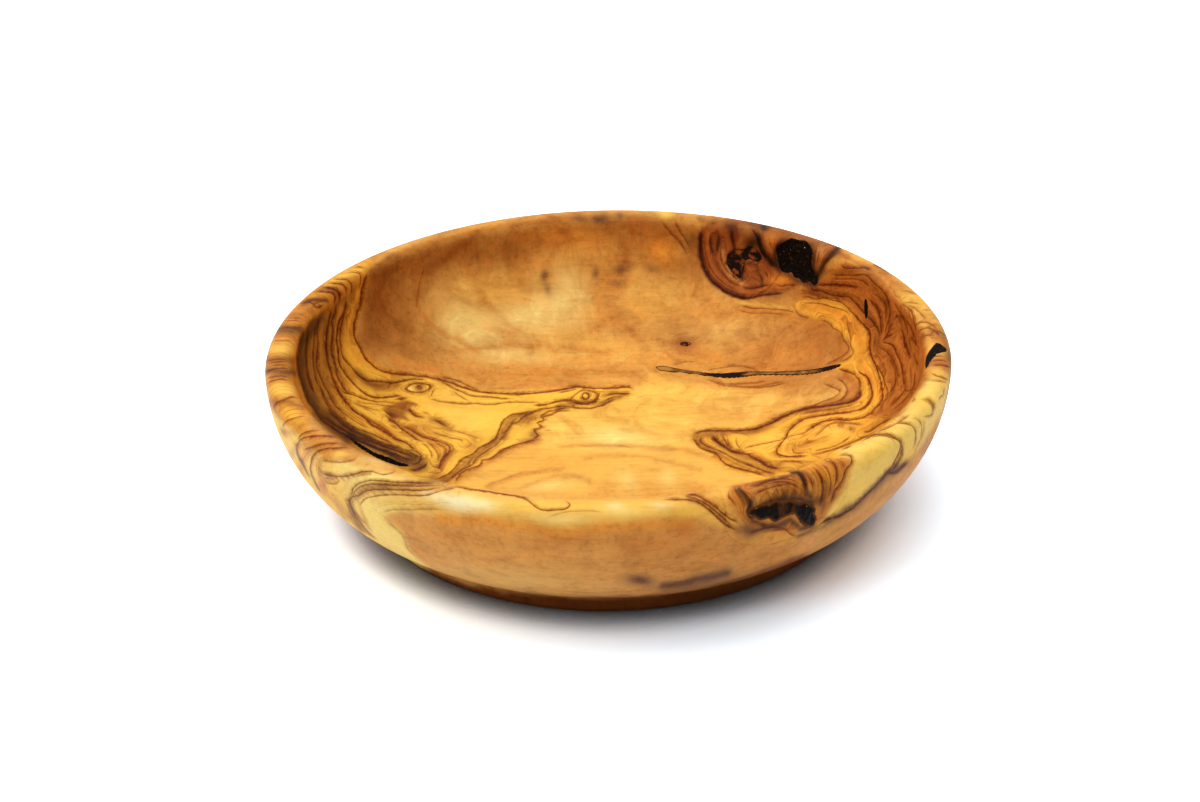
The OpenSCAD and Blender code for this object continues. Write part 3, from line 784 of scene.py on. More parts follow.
LEFT_FIGURE = [(366, 262), (361, 300), (354, 325), (356, 340), (365, 358), (381, 370), (421, 376),
               (462, 387), (500, 393), (547, 392), (587, 388), (634, 390), (600, 408), (560, 410),
               (540, 425), (510, 447), (480, 464), (455, 486), (420, 480), (350, 445), (310, 405),
               (290, 360), (296, 325), (320, 296)]
BACK_PLAIN = [(370, 262), (362, 300), (356, 325), (358, 340), (366, 357), (381, 368), (421, 374),
              (462, 385), (500, 391), (547, 390), (587, 386), (634, 388), (655, 372), (700, 380),
              (760, 383), (838, 366), (848, 350), (832, 326), (790, 312), (740, 306), (700, 290),
              (690, 250), (676, 216), (600, 209), (480, 226), (400, 246)]
RIGHT_FIGURE = [(694, 436), (740, 430), (780, 418), (810, 407), (855, 400), (860, 385), (838, 368),
                (852, 350), (832, 324), (795, 308), (815, 285), (850, 268), (880, 275), (912, 310),
                (928, 350), (922, 390), (890, 430), (840, 460), (790, 480), (760, 478), (722, 466)]
RIGHT_WALL = [(800, 296), (835, 300), (854, 312), (868, 332), (870, 356), (884, 376), (886, 398),
              (868, 418), (900, 412), (924, 380), (930, 350), (912, 306), (880, 274), (850, 264),
              (815, 284)]
LEFT_OUTSIDE = [(262, 396), (300, 435), (350, 468), (440, 484), (470, 500), (440, 512), (400, 511),
                (385, 518), (402, 535), (410, 552), (425, 568), (380, 552), (330, 512), (285, 460),
                (262, 420)]
PALE_OUTSIDE = [(335, 458), (370, 470), (440, 484), (470, 500), (440, 512), (400, 511), (385, 518),
                (402, 535), (410, 552), (425, 568), (395, 552), (362, 524), (344, 494)]
LEFT_RIM = [(368, 258), (368, 271), (340, 300), (312, 318), (298, 350), (300, 385), (312, 412), (300, 432),
            (270, 408), (262, 372), (268, 340), (290, 312), (330, 276)]
FRONT_PLAIN = [(450, 512), (520, 514), (600, 514), (690, 516), (725, 526), (745, 545), (790, 540),
               (820, 526), (846, 512), (869, 492), (886, 475), (909, 463), (930, 440), (950, 400),
               (960, 430), (905, 500), (830, 560), (760, 600), (640, 625), (500, 615), (430, 585),
               (405, 545), (385, 518), (400, 511)]
FRONT_RIM = [(440, 486), (500, 494), (560, 499), (640, 499), (700, 500), (740, 520), (725, 528), (690, 517),
             (640, 521), (600, 524), (560, 527), (520, 520), (480, 516), (440, 513), (400, 508), (370, 500),
             (400, 492)]
RIGHT_RIM = [(838, 450), (880, 432), (915, 400), (935, 372), (950, 376), (948, 400), (925, 440), (905, 462),
             (886, 474), (866, 494), (840, 515), (815, 528), (842, 490), (853, 460)]
BACK_KNOT = [(702, 226), (700, 250), (706, 272), (720, 288), (738, 297), (760, 295), (788, 292), (800, 286),
             (815, 284), (826, 264), (838, 248), (812, 236), (770, 224), (735, 218)]
FRONT_KNOT = [(730, 488), (737, 510), (746, 524), (760, 530), (790, 532), (816, 526), (830, 506),
              (842, 480), (846, 462), (836, 458), (806, 468), (775, 478)]
FOOT = [(424, 570), (480, 587), (560, 597), (640, 596), (720, 585), (800, 556), (812, 560), (760, 596),
        (680, 618), (590, 624), (490, 612), (430, 584)]
FIGURED = [LEFT_FIGURE, RIGHT_FIGURE, RIGHT_WALL, LEFT_OUTSIDE, LEFT_RIM, BACK_KNOT, FRONT_KNOT]

FLOOR_PAINT = [
    (HONEY, 1.0, "zone", (8, [(440, 400), (640, 385), (850, 400), (800, 480), (700, 500), (450, 490)])),
    (SAP, 0.6, "patch", (600, 424, 80, 22, 3)),
    (CREAM, 0.7, "patch", (615, 437, 36, 10, 3)),
    (SAP, 0.6, "patch", (660, 392, 40, 14, 8)),
    (TAN, 0.6, "patch", (740, 412, 56, 12, 4)),
    (TAN, 0.5, "patch", (800, 396, 44, 10, -8)),
    (ORANGE, 0.3, "patch", (540, 462, 70, 12, 0)),
    (RUST, 0.45, "band", (2.5, [(560, 447), (600, 445), (640, 447), (690, 452), (720, 462)])),
    (RUST, 0.35, "band", (2.5, [(585, 458), (620, 455), (660, 460), (700, 470)])),
    (RUST, 0.45, "band", (2.5, [(490, 486), (515, 477), (535, 471), (560, 470)])),
    (RUST, 0.4, "band", (2.5, [(520, 488), (540, 480), (566, 476), (590, 480)])),
    (RUST, 0.4, "patch", (604, 490, 12, 8, 0)),
    (RUST, 0.4, "patch", (650, 490, 22, 9, 20)),
    (RUST, 0.5, "patch", (694, 490, 20, 8, 14)),
    (CREAM, 0.5, "patch", (548, 487, 24, 6, -10)),
    # Tan band on the floor along the front rim's inner edge: painted shade
    (TAN, 0.6, "band", (5, [(490, 489), (530, 494), (580, 497), (640, 497), (690, 496)])),
    (CREAM, 0.4, "patch", (628, 480, 12, 9, 50)),
    (CREAM, 0.4, "patch", (668, 478, 10, 8, 60)),
]

BACK_PAINT = [
    (TAN, 1.0, "zone", (5, BACK_PLAIN)),
    # Ochre over the upper left of the back wall: darker wood with painted shade
    (OCHRE, 0.95, "zone", (20, [(372, 262), (364, 310), (360, 345), (392, 352), (410, 300), (432, 276),
                                (480, 266), (530, 262), (548, 230), (450, 236)])),
    (OCHRE, 0.5, "patch", (420, 345, 40, 22, 20)),
    (BROWN, 0.7, "patch", (376, 300, 14, 44, 8)),
    (BROWN, 0.55, "patch", (512, 255, 22, 14, -10)),
    (BROWN, 0.9, "band", (6, [(474, 234), (460, 246), (444, 260), (428, 272)])),
    # Cream patches on the back wall: pale wood with painted sheen
    (CREAM, 0.75, "patch", (468, 320, 36, 26, 35)),
    (CREAM, 0.75, "patch", (525, 316, 36, 22, 0)),
    (CREAM, 0.75, "patch", (570, 290, 18, 32, 0)),
    (HONEY, 0.7, "patch", (490, 292, 40, 18, 0)),
    (HONEY, 0.6, "patch", (575, 252, 14, 20, 0)),
    (HONEY, 0.6, "patch", (645, 300, 34, 18, 0)),
    (CREAM, 0.4, "patch", (520, 356, 40, 8, 4)),
    (HONEY, 0.5, "patch", (590, 345, 60, 12, 4)),
    (AMBER, 0.7, "patch", (604, 285, 16, 22, 0)),
    (OCHRE, 0.8, "zone", (10, [(612, 222), (646, 216), (690, 230), (698, 262), (680, 270), (640, 262),
                               (618, 250)])),
    (ORANGE, 0.9, "patch", (662, 252, 16, 16, 0)),
    (ORANGE, 0.7, "patch", (566, 236, 30, 12, 0)),
    (AMBER, 0.6, "patch", (440, 372, 90, 8, 6)),
    (AMBER, 0.85, "patch", (560, 373, 64, 7, 0)),
    (AMBER, 0.8, "patch", (790, 345, 56, 22, 6)),
    (RUST, 0.8, "patch", (828, 338, 24, 24, -10)),
    (OCHRE, 0.75, "patch", (828, 342, 24, 28, 0)),
    (OCHRE, 0.55, "patch", (765, 300, 28, 9, 10)),
    (CREAM, 0.2, "patch", (720, 332, 60, 12, 0)),
    (OCHRE, 0.4, "patch", (672, 274, 20, 12, 0)),
    (RUST, 0.5, "patch", (775, 368, 50, 10, 0)),
    (OCHRE, 0.55, "patch", (625, 228, 70, 14, 0)),
    (BROWN, 0.3, "patch", (390, 300, 40, 30, 0)),
    (AMBER, 0.6, "patch", (780, 385, 60, 8, 0)),
    (OCHRE, 0.5, "patch", (805, 384, 46, 12, 0)),
    (AMBER, 0.6, "patch", (700, 356, 26, 6, 4)),
    (AMBER, 0.6, "patch", (505, 333, 16, 8, 10)),
    (AMBER, 0.5, "band", (4, [(480, 290), (488, 306), (502, 318), (520, 330)])),
    (AMBER, 0.6, "band", (3, [(424, 268), (418, 290), (418, 308), (430, 322), (450, 336), (478, 350)])),
    (AMBER, 0.5, "band", (3, [(450, 352), (500, 346), (560, 348), (610, 352)])),
    (AMBER, 0.5, "band", (3, [(590, 330), (604, 320), (620, 322), (640, 340)])),
    (PURPLE, 0.8, "patch", (545, 276, 4, 7, 10)),
    (PURPLE, 0.6, "patch", (547, 290, 4, 6, 0)),
    (PURPLE, 0.6, "patch", (596, 274, 4, 6, 0)),
    (PURPLE, 0.8, "patch", (622, 269, 11, 5, -8)),
    (PURPLE, 0.5, "patch", (618, 284, 9, 4, 0)),
    (PURPLE, 0.5, "patch", (650, 268, 9, 5, 10)),
    (RUST, 0.6, "band", (4, [(632, 226), (630, 244), (626, 262)])),
    (RED_BROWN, 0.8, "patch", (686, 344, 15, 7, 0)),
    (RUST, 0.6, "patch", (690, 352, 15, 4, 0)),
    (RUST, 0.7, "patch", (692, 245, 5, 10, 0)),
]

LEFT_PAINT = [
    (YELLOW, 1.0, "zone", (3, LEFT_FIGURE)),
    (SAP, 0.9, "patch", (465, 416, 44, 22, 10)),
    (SAP, 0.7, "patch", (450, 394, 22, 8, 10)),
    # Brown down the left inner wall: darker wood with painted shade of the rim
    (BROWN, 0.8, "zone", (7, [(368, 268), (358, 300), (346, 326), (340, 346), (342, 366), (350, 384),
                              (345, 392), (340, 404), (360, 430), (390, 448), (424, 466), (400, 470),
                              (340, 442), (304, 396), (294, 356), (300, 325), (330, 296)])),
    (GOLD, 0.8, "band", (5, [(362, 280), (357, 304), (350, 325), (350, 342), (358, 356), (374, 368),
                             (396, 376)])),
    (GOLD, 0.6, "band", (5, [(342, 312), (339, 340), (343, 362), (352, 376)])),
    (GOLD, 0.8, "patch", (348, 386, 10, 5, 40)),
    (GOLD, 0.8, "band", (5, [(334, 378), (340, 396), (356, 414), (378, 428), (398, 440)])),
    (YELLOW, 0.8, "band", (4, [(360, 411), (378, 418), (394, 431), (410, 443)])),
    (GOLD, 0.6, "patch", (392, 388, 16, 5, 5)),
    (BROWN, 0.85, "band", (4.5, [(358, 374), (368, 382), (382, 386), (396, 384)])),
    (BROWN, 0.9, "zone", (2, [(383, 409), (392, 405), (402, 401), (414, 402), (417, 406), (410, 408),
                              (414, 413), (405, 413), (408, 419), (398, 418), (392, 422), (390, 415)])),
    (RUST, 0.7, "band", (5, [(392, 420), (404, 427), (420, 436), (438, 443), (447, 450), (440, 464),
                             (436, 472)])),
    (AMBER, 0.6, "patch", (424, 428, 18, 7, 25)),
    (BROWN, 0.6, "band", (4, [(432, 420), (442, 424), (450, 430)])),
    (RUST, 0.7, "patch", (471, 446, 7, 8, 40)),
    (BROWN, 0.9, "patch", (529, 420, 10, 5, -30)),
    (BROWN, 0.85, "patch", (534, 434, 5, 6, 20)),
    (BROWN, 0.7, "band", (2.5, [(556, 407), (580, 403), (600, 402), (615, 398), (628, 392)])),
    (BROWN, 0.75, "band", (4, [(530, 413), (512, 420), (502, 434), (488, 448), (468, 463), (446, 480)])),
    (RUST, 0.6, "band", (4, [(536, 440), (516, 446), (494, 458), (474, 470), (456, 482)])),
    # Umber band under the left rim's inner edge: painted shade
    (UMBER, 0.8, "band", (8, [(318, 312), (304, 332), (297, 360), (303, 392), (320, 416), (346, 438)])),
    (UMBER, 0.4, "band", (6, [(326, 414), (350, 432), (380, 446), (410, 458), (424, 466)])),
    (SOOT, 0.8, "band", (2.2, [(346, 434), (360, 441), (376, 449), (392, 456), (406, 463)])),
    (SOOT, 0.6, "band", (2.0, [(330, 414), (350, 428), (374, 440), (396, 448)])),
    (UMBER, 0.8, "patch", (412, 458, 14, 7, 20)),
    (GOLD, 0.5, "patch", (402, 455, 5, 2.5, 20)),
    (BROWN, 0.6, "patch", (614, 393, 16, 3, 0)),
    (CREAM, 0.7, "patch", (411, 388, 5, 2, 0)),
    (RED_BROWN, 1.0, "patch", (419.5, 387, 4, 3, 20)),
]

RIGHT_PAINT = [
    (YELLOW, 1.0, "zone", (3, RIGHT_FIGURE)),
    (ORANGE, 0.35, "zone", (3, RIGHT_FIGURE)),
    (RUST, 0.95, "zone", (5, RIGHT_WALL)),
    (ORANGE, 0.8, "band", (4, [(806, 308), (832, 312), (852, 326), (860, 346), (862, 366), (878, 384),
                               (880, 396)])),
    (AMBER, 0.7, "patch", (873, 312, 5, 14, -15)),
    (ORANGE, 0.6, "patch", (858, 326, 8, 12, -20)),
    (AMBER, 0.6, "patch", (895, 338, 8, 8, 0)),
    (AMBER, 0.6, "patch", (904, 378, 8, 14, 0)),
    (AMBER, 0.7, "patch", (842, 279, 16, 5, 0)),
    (BROWN, 0.7, "band", (4, [(810, 292), (840, 294), (862, 304), (876, 326), (878, 350)])),
    (BROWN, 0.7, "band", (4, [(826, 272), (856, 274), (874, 284), (886, 304), (890, 322)])),
    (BROWN, 0.7, "band", (4, [(902, 318), (908, 340), (914, 358), (922, 376)])),
    (BROWN, 0.6, "band", (5, [(922, 384), (908, 402), (890, 418), (868, 430)])),
    (BROWN, 0.7, "band", (4, [(695, 438), (712, 432), (750, 431), (780, 418), (805, 410), (835, 405),
                              (854, 398), (857, 386), (848, 376)])),
    (BROWN, 0.65, "band", (4, [(700, 442), (722, 456), (745, 464), (772, 474)])),
    (BROWN, 0.6, "band", (4, [(716, 438), (732, 451), (756, 460), (780, 469)])),
    (RUST, 0.8, "band", (5, [(846, 374), (853, 384), (850, 396), (830, 403), (806, 408)])),
    (SAP, 0.7, "patch", (768, 440, 26, 7, -12)),
    (RUST, 0.5, "patch", (800, 446, 10, 5, -15)),
    (GOLD, 0.6, "patch", (868, 424, 16, 5, -20)),
    (SAP, 0.7, "patch", (836, 431, 14, 5, -8)),
    (BROWN, 1.0, "patch", (841.5, 426.5, 3.2, 2.4, 0)),
    (BROWN, 1.0, "patch", (851.5, 428.5, 3.2, 2.4, 0)),
]

FRONT_PAINT = [
    (PINK_TAN, 1.0, "zone", (4, FRONT_PLAIN)),
    (SAP, 1.0, "zone", (2, LEFT_OUTSIDE)),
    (CREAM, 0.2, "zone", (4, LEFT_OUTSIDE)),
    (CREAM, 0.8, "zone", (6, PALE_OUTSIDE)),
    (SAP, 1.0, "zone", (4, RIGHT_RIM)),
    # Cream over the right rim: painted sheen on its pale wood
    (CREAM, 0.35, "zone", (4, RIGHT_RIM)),
    (HONEY, 1.0, "zone", (5, FRONT_RIM)),
    # Painted highlights and sheen along the front rim's top, over its pale wood: cream, sap and ivory
    # patches
    (CREAM, 0.6, "patch", (474, 503, 44, 8, 5)),
    (CREAM, 0.5, "patch", (462, 500, 26, 6, 10)),
    (SAP, 0.7, "patch", (510, 506, 30, 5, 0)),
    (SAP, 0.8, "patch", (550, 507, 34, 5, 0)),
    (SAP, 0.9, "patch", (640, 507, 40, 5, 0)),
    (HIGHLIGHT_IVORY, 1.0, "patch", (459, 503, 20, 7, 8)),
    (HIGHLIGHT_IVORY, 0.6, "patch", (484, 505, 14, 5, 4)),
    (HIGHLIGHT_IVORY, 0.5, "patch", (432, 495, 16, 5, 12)),
    (HIGHLIGHT_IVORY, 0.4, "patch", (615, 506, 8, 4, 0)),
    (HIGHLIGHT_IVORY, 0.4, "patch", (662, 506, 10, 4, 0)),
    (CREAM, 0.6, "patch", (560, 518, 30, 5, 0)),
    (CREAM, 0.5, "patch", (622, 512, 24, 5, 0)),
    (SAP, 0.8, "patch", (680, 513, 16, 4, 0)),
    (ORANGE, 0.85, "band", (5, [(440, 518), (490, 522), (525, 526), (560, 533), (600, 530), (640, 526),
                                (690, 522)])),
    (RUST, 0.8, "patch", (684, 529, 16, 9, 5)),
    (RUST, 0.5, "patch", (645, 545, 30, 16, -10)),
    (RUST, 0.35, "patch", (700, 548, 60, 24, -8)),
    (BROWN, 0.5, "band", (3, [(690, 500), (706, 506), (716, 514), (728, 524), (738, 531)])),
    (AMBER, 0.4, "patch", (560, 540, 80, 8, 3)),
    (AMBER, 0.5, "patch", (455, 536, 20, 6, 10)),
    (CREAM, 0.3, "patch", (500, 578, 100, 12, 6)),
    (AMBER, 0.5, "patch", (770, 556, 26, 6, -12)),
    (PURPLE, 1.0, "patch", (639, 581, 15, 6, 5)),
    (PURPLE, 0.95, "band", (4.5, [(664, 587), (690, 582), (712, 577), (727, 572)])),
    # Foot: red-brown wood, darkened with umber as painted shade under the overhang
    (RED_BROWN, 1.0, "zone", (3, FOOT)),
    (UMBER, 0.4, "zone", (3, FOOT)),
    (UMBER, 1.0, "patch", (720, 594, 90, 16, -12)),
    (UMBER, 0.7, "patch", (570, 606, 90, 9, 2)),
    (UMBER, 0.7, "patch", (527, 598, 10, 6, 0)),
    (BROWN, 0.85, "band", (4, [(444, 481), (406, 483), (372, 487), (353, 498), (352, 512), (362, 530)])),
    (AMBER, 0.6, "band", (3, [(330, 476), (322, 486), (334, 500), (346, 518)])),
    (AMBER, 0.6, "band", (3.5, [(284, 432), (308, 434), (322, 438)])),
    (AMBER, 0.6, "band", (3, [(291, 457), (296, 447), (304, 444), (322, 442), (340, 440)])),
    (AMBER, 0.7, "band", (3, [(303, 481), (301, 467), (305, 455), (316, 447), (332, 446)])),
    (AMBER, 0.7, "band", (3, [(325, 493), (320, 476), (321, 460), (332, 452), (345, 450), (354, 455)])),
    (RUST, 0.6, "band", (2, [(322, 483), (332, 479), (354, 475), (370, 474)])),
    (AMBER, 0.6, "band", (2, [(371, 534), (363, 515), (360, 500), (368, 493), (395, 489), (452, 487)])),
    (AMBER, 0.7, "patch", (345, 459, 14, 3, 0)),
    (SAP, 0.8, "patch", (340, 454, 8, 3, 0)),
    (CREAM, 0.5, "patch", (372, 462, 18, 4, 14)),
    (RUST, 0.6, "patch", (306, 448, 6, 4, -20)),
    (CREAM, 0.4, "patch", (392, 502, 26, 8, 6)),
    (HONEY, 0.5, "patch", (345, 490, 10, 10, 30)),
    (PURPLE, 0.8, "band", (4, [(826, 521), (840, 515), (856, 505), (872, 490), (888, 475), (906, 464)])),
    (SAP, 0.8, "patch", (872, 456, 14, 8, -35)),
    (SAP, 0.7, "patch", (920, 404, 8, 8, 0)),
]

RIM_PAINT = [
    (TAN, 1.0, "zone", (2, [(370, 268), (400, 250), (480, 229), (560, 216), (640, 213), (700, 218),
                            (730, 224), (735, 216), (640, 206), (540, 208), (440, 228), (370, 255)])),
    (AMBER, 0.6, "band", (3, [(400, 254), (450, 238), (500, 228), (560, 219), (600, 216)])),
    (PURPLE, 0.7, "patch", (580, 219, 8, 4, 0)),
    (PURPLE, 0.9, "patch", (601, 219, 11, 5, 0)),
    (PURPLE, 0.7, "patch", (621, 216, 5, 4, 0)),
    (RUST, 0.7, "patch", (545, 221, 10, 4, 0)),
    (RUST, 0.8, "patch", (642, 222, 9, 6, 0)),
    (SAP, 0.9, "patch", (667, 215, 8, 4, 0)),
    (HONEY, 0.8, "zone", (4, [(830, 244), (870, 258), (905, 282), (935, 318), (950, 350), (948, 380),
                              (930, 375), (926, 340), (906, 308), (878, 278), (840, 258)])),
    (SAP, 0.8, "patch", (910, 296, 16, 9, 45)),
    (AMBER, 0.9, "band", (6, [(826, 247), (850, 258), (874, 270), (894, 284)])),
    (BROWN, 0.6, "band", (2, [(834, 251), (850, 259), (868, 268)])),
    (BROWN, 0.5, "band", (2, [(846, 264), (866, 272), (884, 284)])),
    (AMBER, 0.4, "band", (5, [(890, 280), (906, 294), (926, 318), (938, 340)])),
    (RUST, 0.7, "patch", (934, 334, 10, 8, 40)),
    (BROWN, 0.55, "patch", (938, 333, 8, 6, 30)),
    (BROWN, 0.6, "band", (4, [(929, 364), (939, 361), (950, 361)])),
    (BROWN, 0.8, "band", (5, [(944, 338), (948, 350), (951, 364)])),
    (RUST, 0.7, "band", (4, [(953, 372), (951, 395), (945, 415), (936, 437), (924, 455)])),
    (UMBER, 0.6, "band", (2.5, [(951, 352), (952, 372), (950, 392), (945, 410)])),
    (RUST, 0.8, "band", (5, [(930, 362), (940, 364), (950, 368)])),
    (GOLD, 1.0, "zone", (2, LEFT_RIM)),
    (AMBER, 0.4, "zone", (2, LEFT_RIM)),
    (SAP, 0.9, "patch", (280, 350, 16, 7, 0)),
    (SAP, 0.9, "patch", (281, 390, 16, 8, 5)),
    (SAP, 0.8, "patch", (352, 272, 20, 5, -30)),
    (YELLOW, 0.7, "patch", (330, 284, 16, 4, -30)),
    (YELLOW, 0.6, "patch", (292, 416, 14, 6, 30)),
    (OCHRE, 0.7, "band", (3, [(286, 318), (300, 314), (312, 312)])),
    (UMBER, 0.85, "band", (5, [(270, 332), (284, 330), (300, 330)])),
    (BROWN, 0.8, "band", (5, [(262, 362), (276, 361), (292, 362)])),
    (UMBER, 0.85, "band", (4, [(262, 373), (276, 371), (294, 373)])),
    (BROWN, 0.7, "band", (3, [(268, 404), (284, 402), (302, 408)])),
    (UMBER, 0.85, "band", (3, [(304, 304), (314, 300), (326, 301)])),
    (BROWN, 0.7, "band", (3, [(320, 290), (332, 289), (340, 295)])),
    # Dark band along the left rim's inner edge: painted shadow
    (SOOT, 0.6, "band", (4, [(321, 318), (308, 338), (302, 361), (306, 386), (317, 407)])),
]

KNOT_PAINT = [
    (RED_BROWN, 0.9, "zone", (3, BACK_KNOT)),
    (RUST, 0.8, "band", (4, [(708, 232), (707, 250), (712, 268), (726, 283), (748, 291), (766, 288)])),
    (PINK_TAN, 0.8, "band", (3, [(722, 252), (724, 264), (732, 277), (744, 285)])),
    (ORANGE, 0.8, "patch", (780, 281, 12, 7, -10)),
    (AMBER, 0.8, "patch", (772, 240, 10, 8, 40)),
    (PINK_TAN, 0.8, "patch", (819, 254, 5, 12, 15)),
    (AMBER, 0.7, "patch", (740, 240, 5, 6, 0)),
    (SOOT, 0.9, "patch", (751, 243, 8, 7, 30)),
    (SOOT, 0.95, "band", (4, [(751, 226), (756, 234), (760, 245), (766, 257), (774, 265), (780, 268)])),
    (SOOT, 0.9, "band", (3, [(754, 229), (762, 227), (768, 226)])),
    (SOOT, 0.9, "band", (3.5, [(812, 284), (820, 276), (825, 265), (832, 255), (840, 248)])),
    (PURPLE, 0.9, "patch", (734, 226, 8, 3, 10)),
    (UMBER, 0.8, "patch", (808, 243, 7, 3, 20)),
    (PURPLE, 0.8, "band", (3, [(700, 232), (700, 250), (706, 272), (720, 288), (742, 297)])),
    (PURPLE, 0.6, "patch", (775, 296, 14, 3, 0)),
    (SAP, 0.7, "band", (2, [(736, 300), (752, 305), (772, 307), (792, 310)])),
    (ORANGE, 0.7, "band", (2, [(740, 311), (760, 311), (778, 312), (795, 316)])),
    (SOOT, 0.8, "band", (1.6, [(731, 229), (733, 240), (734, 249)])),
    (SOOT, 0.8, "band", (1.6, [(720, 236), (719, 244), (718, 251)])),
    (SOOT, 0.7, "band", (1.5, [(711, 238), (711, 246), (713, 253)])),
    (SOOT, 0.9, "band", (2.2, [(726, 263), (728, 256), (735, 252), (746, 249)])),
    (SOOT, 0.9, "band", (2.0, [(744, 258), (743, 268), (741, 278)])),
    (UMBER, 0.8, "band", (1.6, [(745, 288), (755, 287), (764, 285)])),
    (UMBER, 0.8, "band", (1.6, [(757, 272), (762, 279), (762, 286)])),
    (UMBER, 0.8, "band", (1.6, [(747, 262), (755, 265), (759, 271)])),
    (UMBER, 0.6, "patch", (692, 240, 6, 12, 0)),
    (SOOT, 0.85, "band", (3, [(777, 262), (776, 252), (783, 242), (792, 238), (804, 243), (811, 252),
                              (814, 268), (817, 281)])),
    (UMBER, 0.85, "band", (3, [(780, 271), (791, 275), (797, 281), (808, 284), (816, 285)])),
    (OCHRE, 0.8, "band", (3, [(700, 221), (735, 226), (770, 232), (800, 240), (830, 248)])),
    (BROWN, 0.5, "band", (4, [(700, 219), (740, 224), (780, 233), (815, 243)])),
    (UMBER, 0.8, "patch", (713, 223, 4, 2, 10)),
    (UMBER, 0.8, "patch", (731, 227, 8, 2.5, 12)),
    (SOOT, 0.9, "patch", (763, 228, 6, 3, 10)),
    (UMBER, 0.8, "patch", (808, 244, 8, 3, 20)),
    (AMBER, 1.0, "zone", (3, FRONT_KNOT)),
    (GOLD, 0.8, "patch", (826, 482, 14, 16, -20)),
    (UMBER, 0.85, "patch", (792, 494, 22, 8, 5)),
    # Tan on the front knot above its filler: painted highlight
    (TAN, 0.6, "patch", (776, 490, 10, 4, -5)),
    (PINK_TAN, 0.8, "patch", (754, 499, 6, 7, 0)),
    (BROWN, 0.8, "band", (5, [(766, 486), (786, 482), (802, 492), (810, 500)])),
    # Pale ribs over the front knot's filler: painted highlights
    (TAN, 0.6, "band", (2, [(768, 500), (772, 493), (770, 487)])),
    (AMBER, 0.8, "band", (1.6, [(778, 500), (781, 492), (784, 484)])),
    (AMBER, 0.8, "band", (1.6, [(788, 499), (791, 491), (793, 483)])),
    (AMBER, 0.7, "band", (1.6, [(798, 499), (800, 492), (800, 485)])),
    (SOOT, 0.9, "band", (4, [(752, 512), (762, 504), (778, 500), (794, 500), (812, 502)])),
    (SOOT, 0.8, "band", (3, [(752, 500), (752, 510), (754, 520), (764, 524)])),
    (SOOT, 0.8, "band", (3, [(764, 524), (776, 526), (790, 520), (800, 528), (812, 526)])),
    (SOOT, 0.9, "band", (3, [(792, 473), (800, 474), (805, 480), (807, 488), (811, 495)])),
    (BROWN, 0.7, "band", (5, [(816, 474), (824, 484), (825, 496), (822, 506)])),
    (UMBER, 0.9, "patch", (819, 501, 4, 5, 0)),
    (TAN, 0.6, "patch", (812, 483, 4, 8, 0)),
    (PURPLE, 0.9, "patch", (747, 529, 10, 8, 0)),
    (PURPLE, 0.7, "band", (4, [(752, 531), (768, 528), (782, 524)])),
    (SOOT, 0.9, "band", (2.4, [(739, 489), (746, 497), (750, 506), (751, 516)])),
    (RUST, 0.7, "patch", (846, 461, 6, 5, 0)),
    (PURPLE, 0.7, "band", (2.5, [(799, 536), (816, 530), (830, 521)])),
]

PAINT = FLOOR_PAINT + BACK_PAINT + LEFT_PAINT + RIGHT_PAINT + FRONT_PAINT + RIM_PAINT + KNOT_PAINT


# Growth lines on the turned surface

class Stroke:
    """A growth line on the turned surface, in millimetres."""

    def __init__(self, strength, points, normals, half_width, closed):
        self.strength = strength
        self.points = points
        self.half_width = half_width
        self.closed = closed
        self.side = np.cross(normals, unit(np.gradient(points, axis=0)))
        self.along = along(points)
        self.low = points.min(0) - LINE_RANGE
        self.high = points.max(0) + LINE_RANGE

    def measure(self, places):
        """Distance, signed distance, half width and strength of the line at each place."""
        start = self.points[:-1]
        step = np.diff(self.points, axis=0)
        square = (step ** 2).sum(1) + TINY
        away = places[:, None, :] - start[None]
        share = np.clip((away * step[None]).sum(2) / square, 0, 1)
        away = away - share[:, :, None] * step[None]
        distance = np.sqrt((away ** 2).sum(2))
        best = np.argmin(distance, axis=1)
        row = np.arange(len(places))
        distance = distance[row, best]
        sign = np.where((away[row, best] * self.side[best]).sum(1) < 0, -1.0, 1.0)
        length = self.along[best] + share[row, best] * np.sqrt(square[best])
        end_gap = np.minimum(length, self.along[-1] - length)
        taper = np.ones(len(places)) if self.closed else smooth(end_gap / LINE_TAPER)
        half_width = self.half_width[best] * (TIP_SHARE + (1 - TIP_SHARE) * taper)
        return distance, sign * distance, half_width, self.strength * taper


def half_widths(width, pixels, points, normals):
    """Half the width on the surface of a line that is some pixels wide in the photograph."""
    direction = unit(np.gradient(pixels, axis=0))
    ray = points - EYE
    depth = -(ray @ BACK)[:, None]
    across = depth / FOCAL_PX * (-direction[:, 1:2] * RIGHT - direction[:, 0:1] * UP) * width / 2
    facing = np.minimum((normals * ray).sum(1), -TINY)[:, None]
    across = across - ray * (normals * across).sum(1)[:, None] / facing
    tangent = unit(np.gradient(points, axis=0))
    across = across - tangent * (across * tangent).sum(1)[:, None]
    return np.clip(np.linalg.norm(across, axis=1), *LINE_HALF_WIDTHS)


def traced(strength, width, pixel_points):
    """Strokes of one pixel line, split where it passes behind an edge."""
    closed = pixel_points[0] == pixel_points[-1]
    pixels = curve(pixel_points, LINE_SPACING)
    points, normals, met = cast(pixels)
    if len(met) < FEWEST_POINTS:
        return []
    half_width = half_widths(width, pixels[met], points, normals)
    jumps = np.where(np.linalg.norm(np.diff(points, axis=0), axis=1) > LINE_BREAK)[0] + 1
    runs = [run for run in np.split(np.arange(len(points)), jumps) if len(run) >= FEWEST_POINTS]
    return [Stroke(strength, points[run], normals[run], half_width[run], closed) for run in runs]


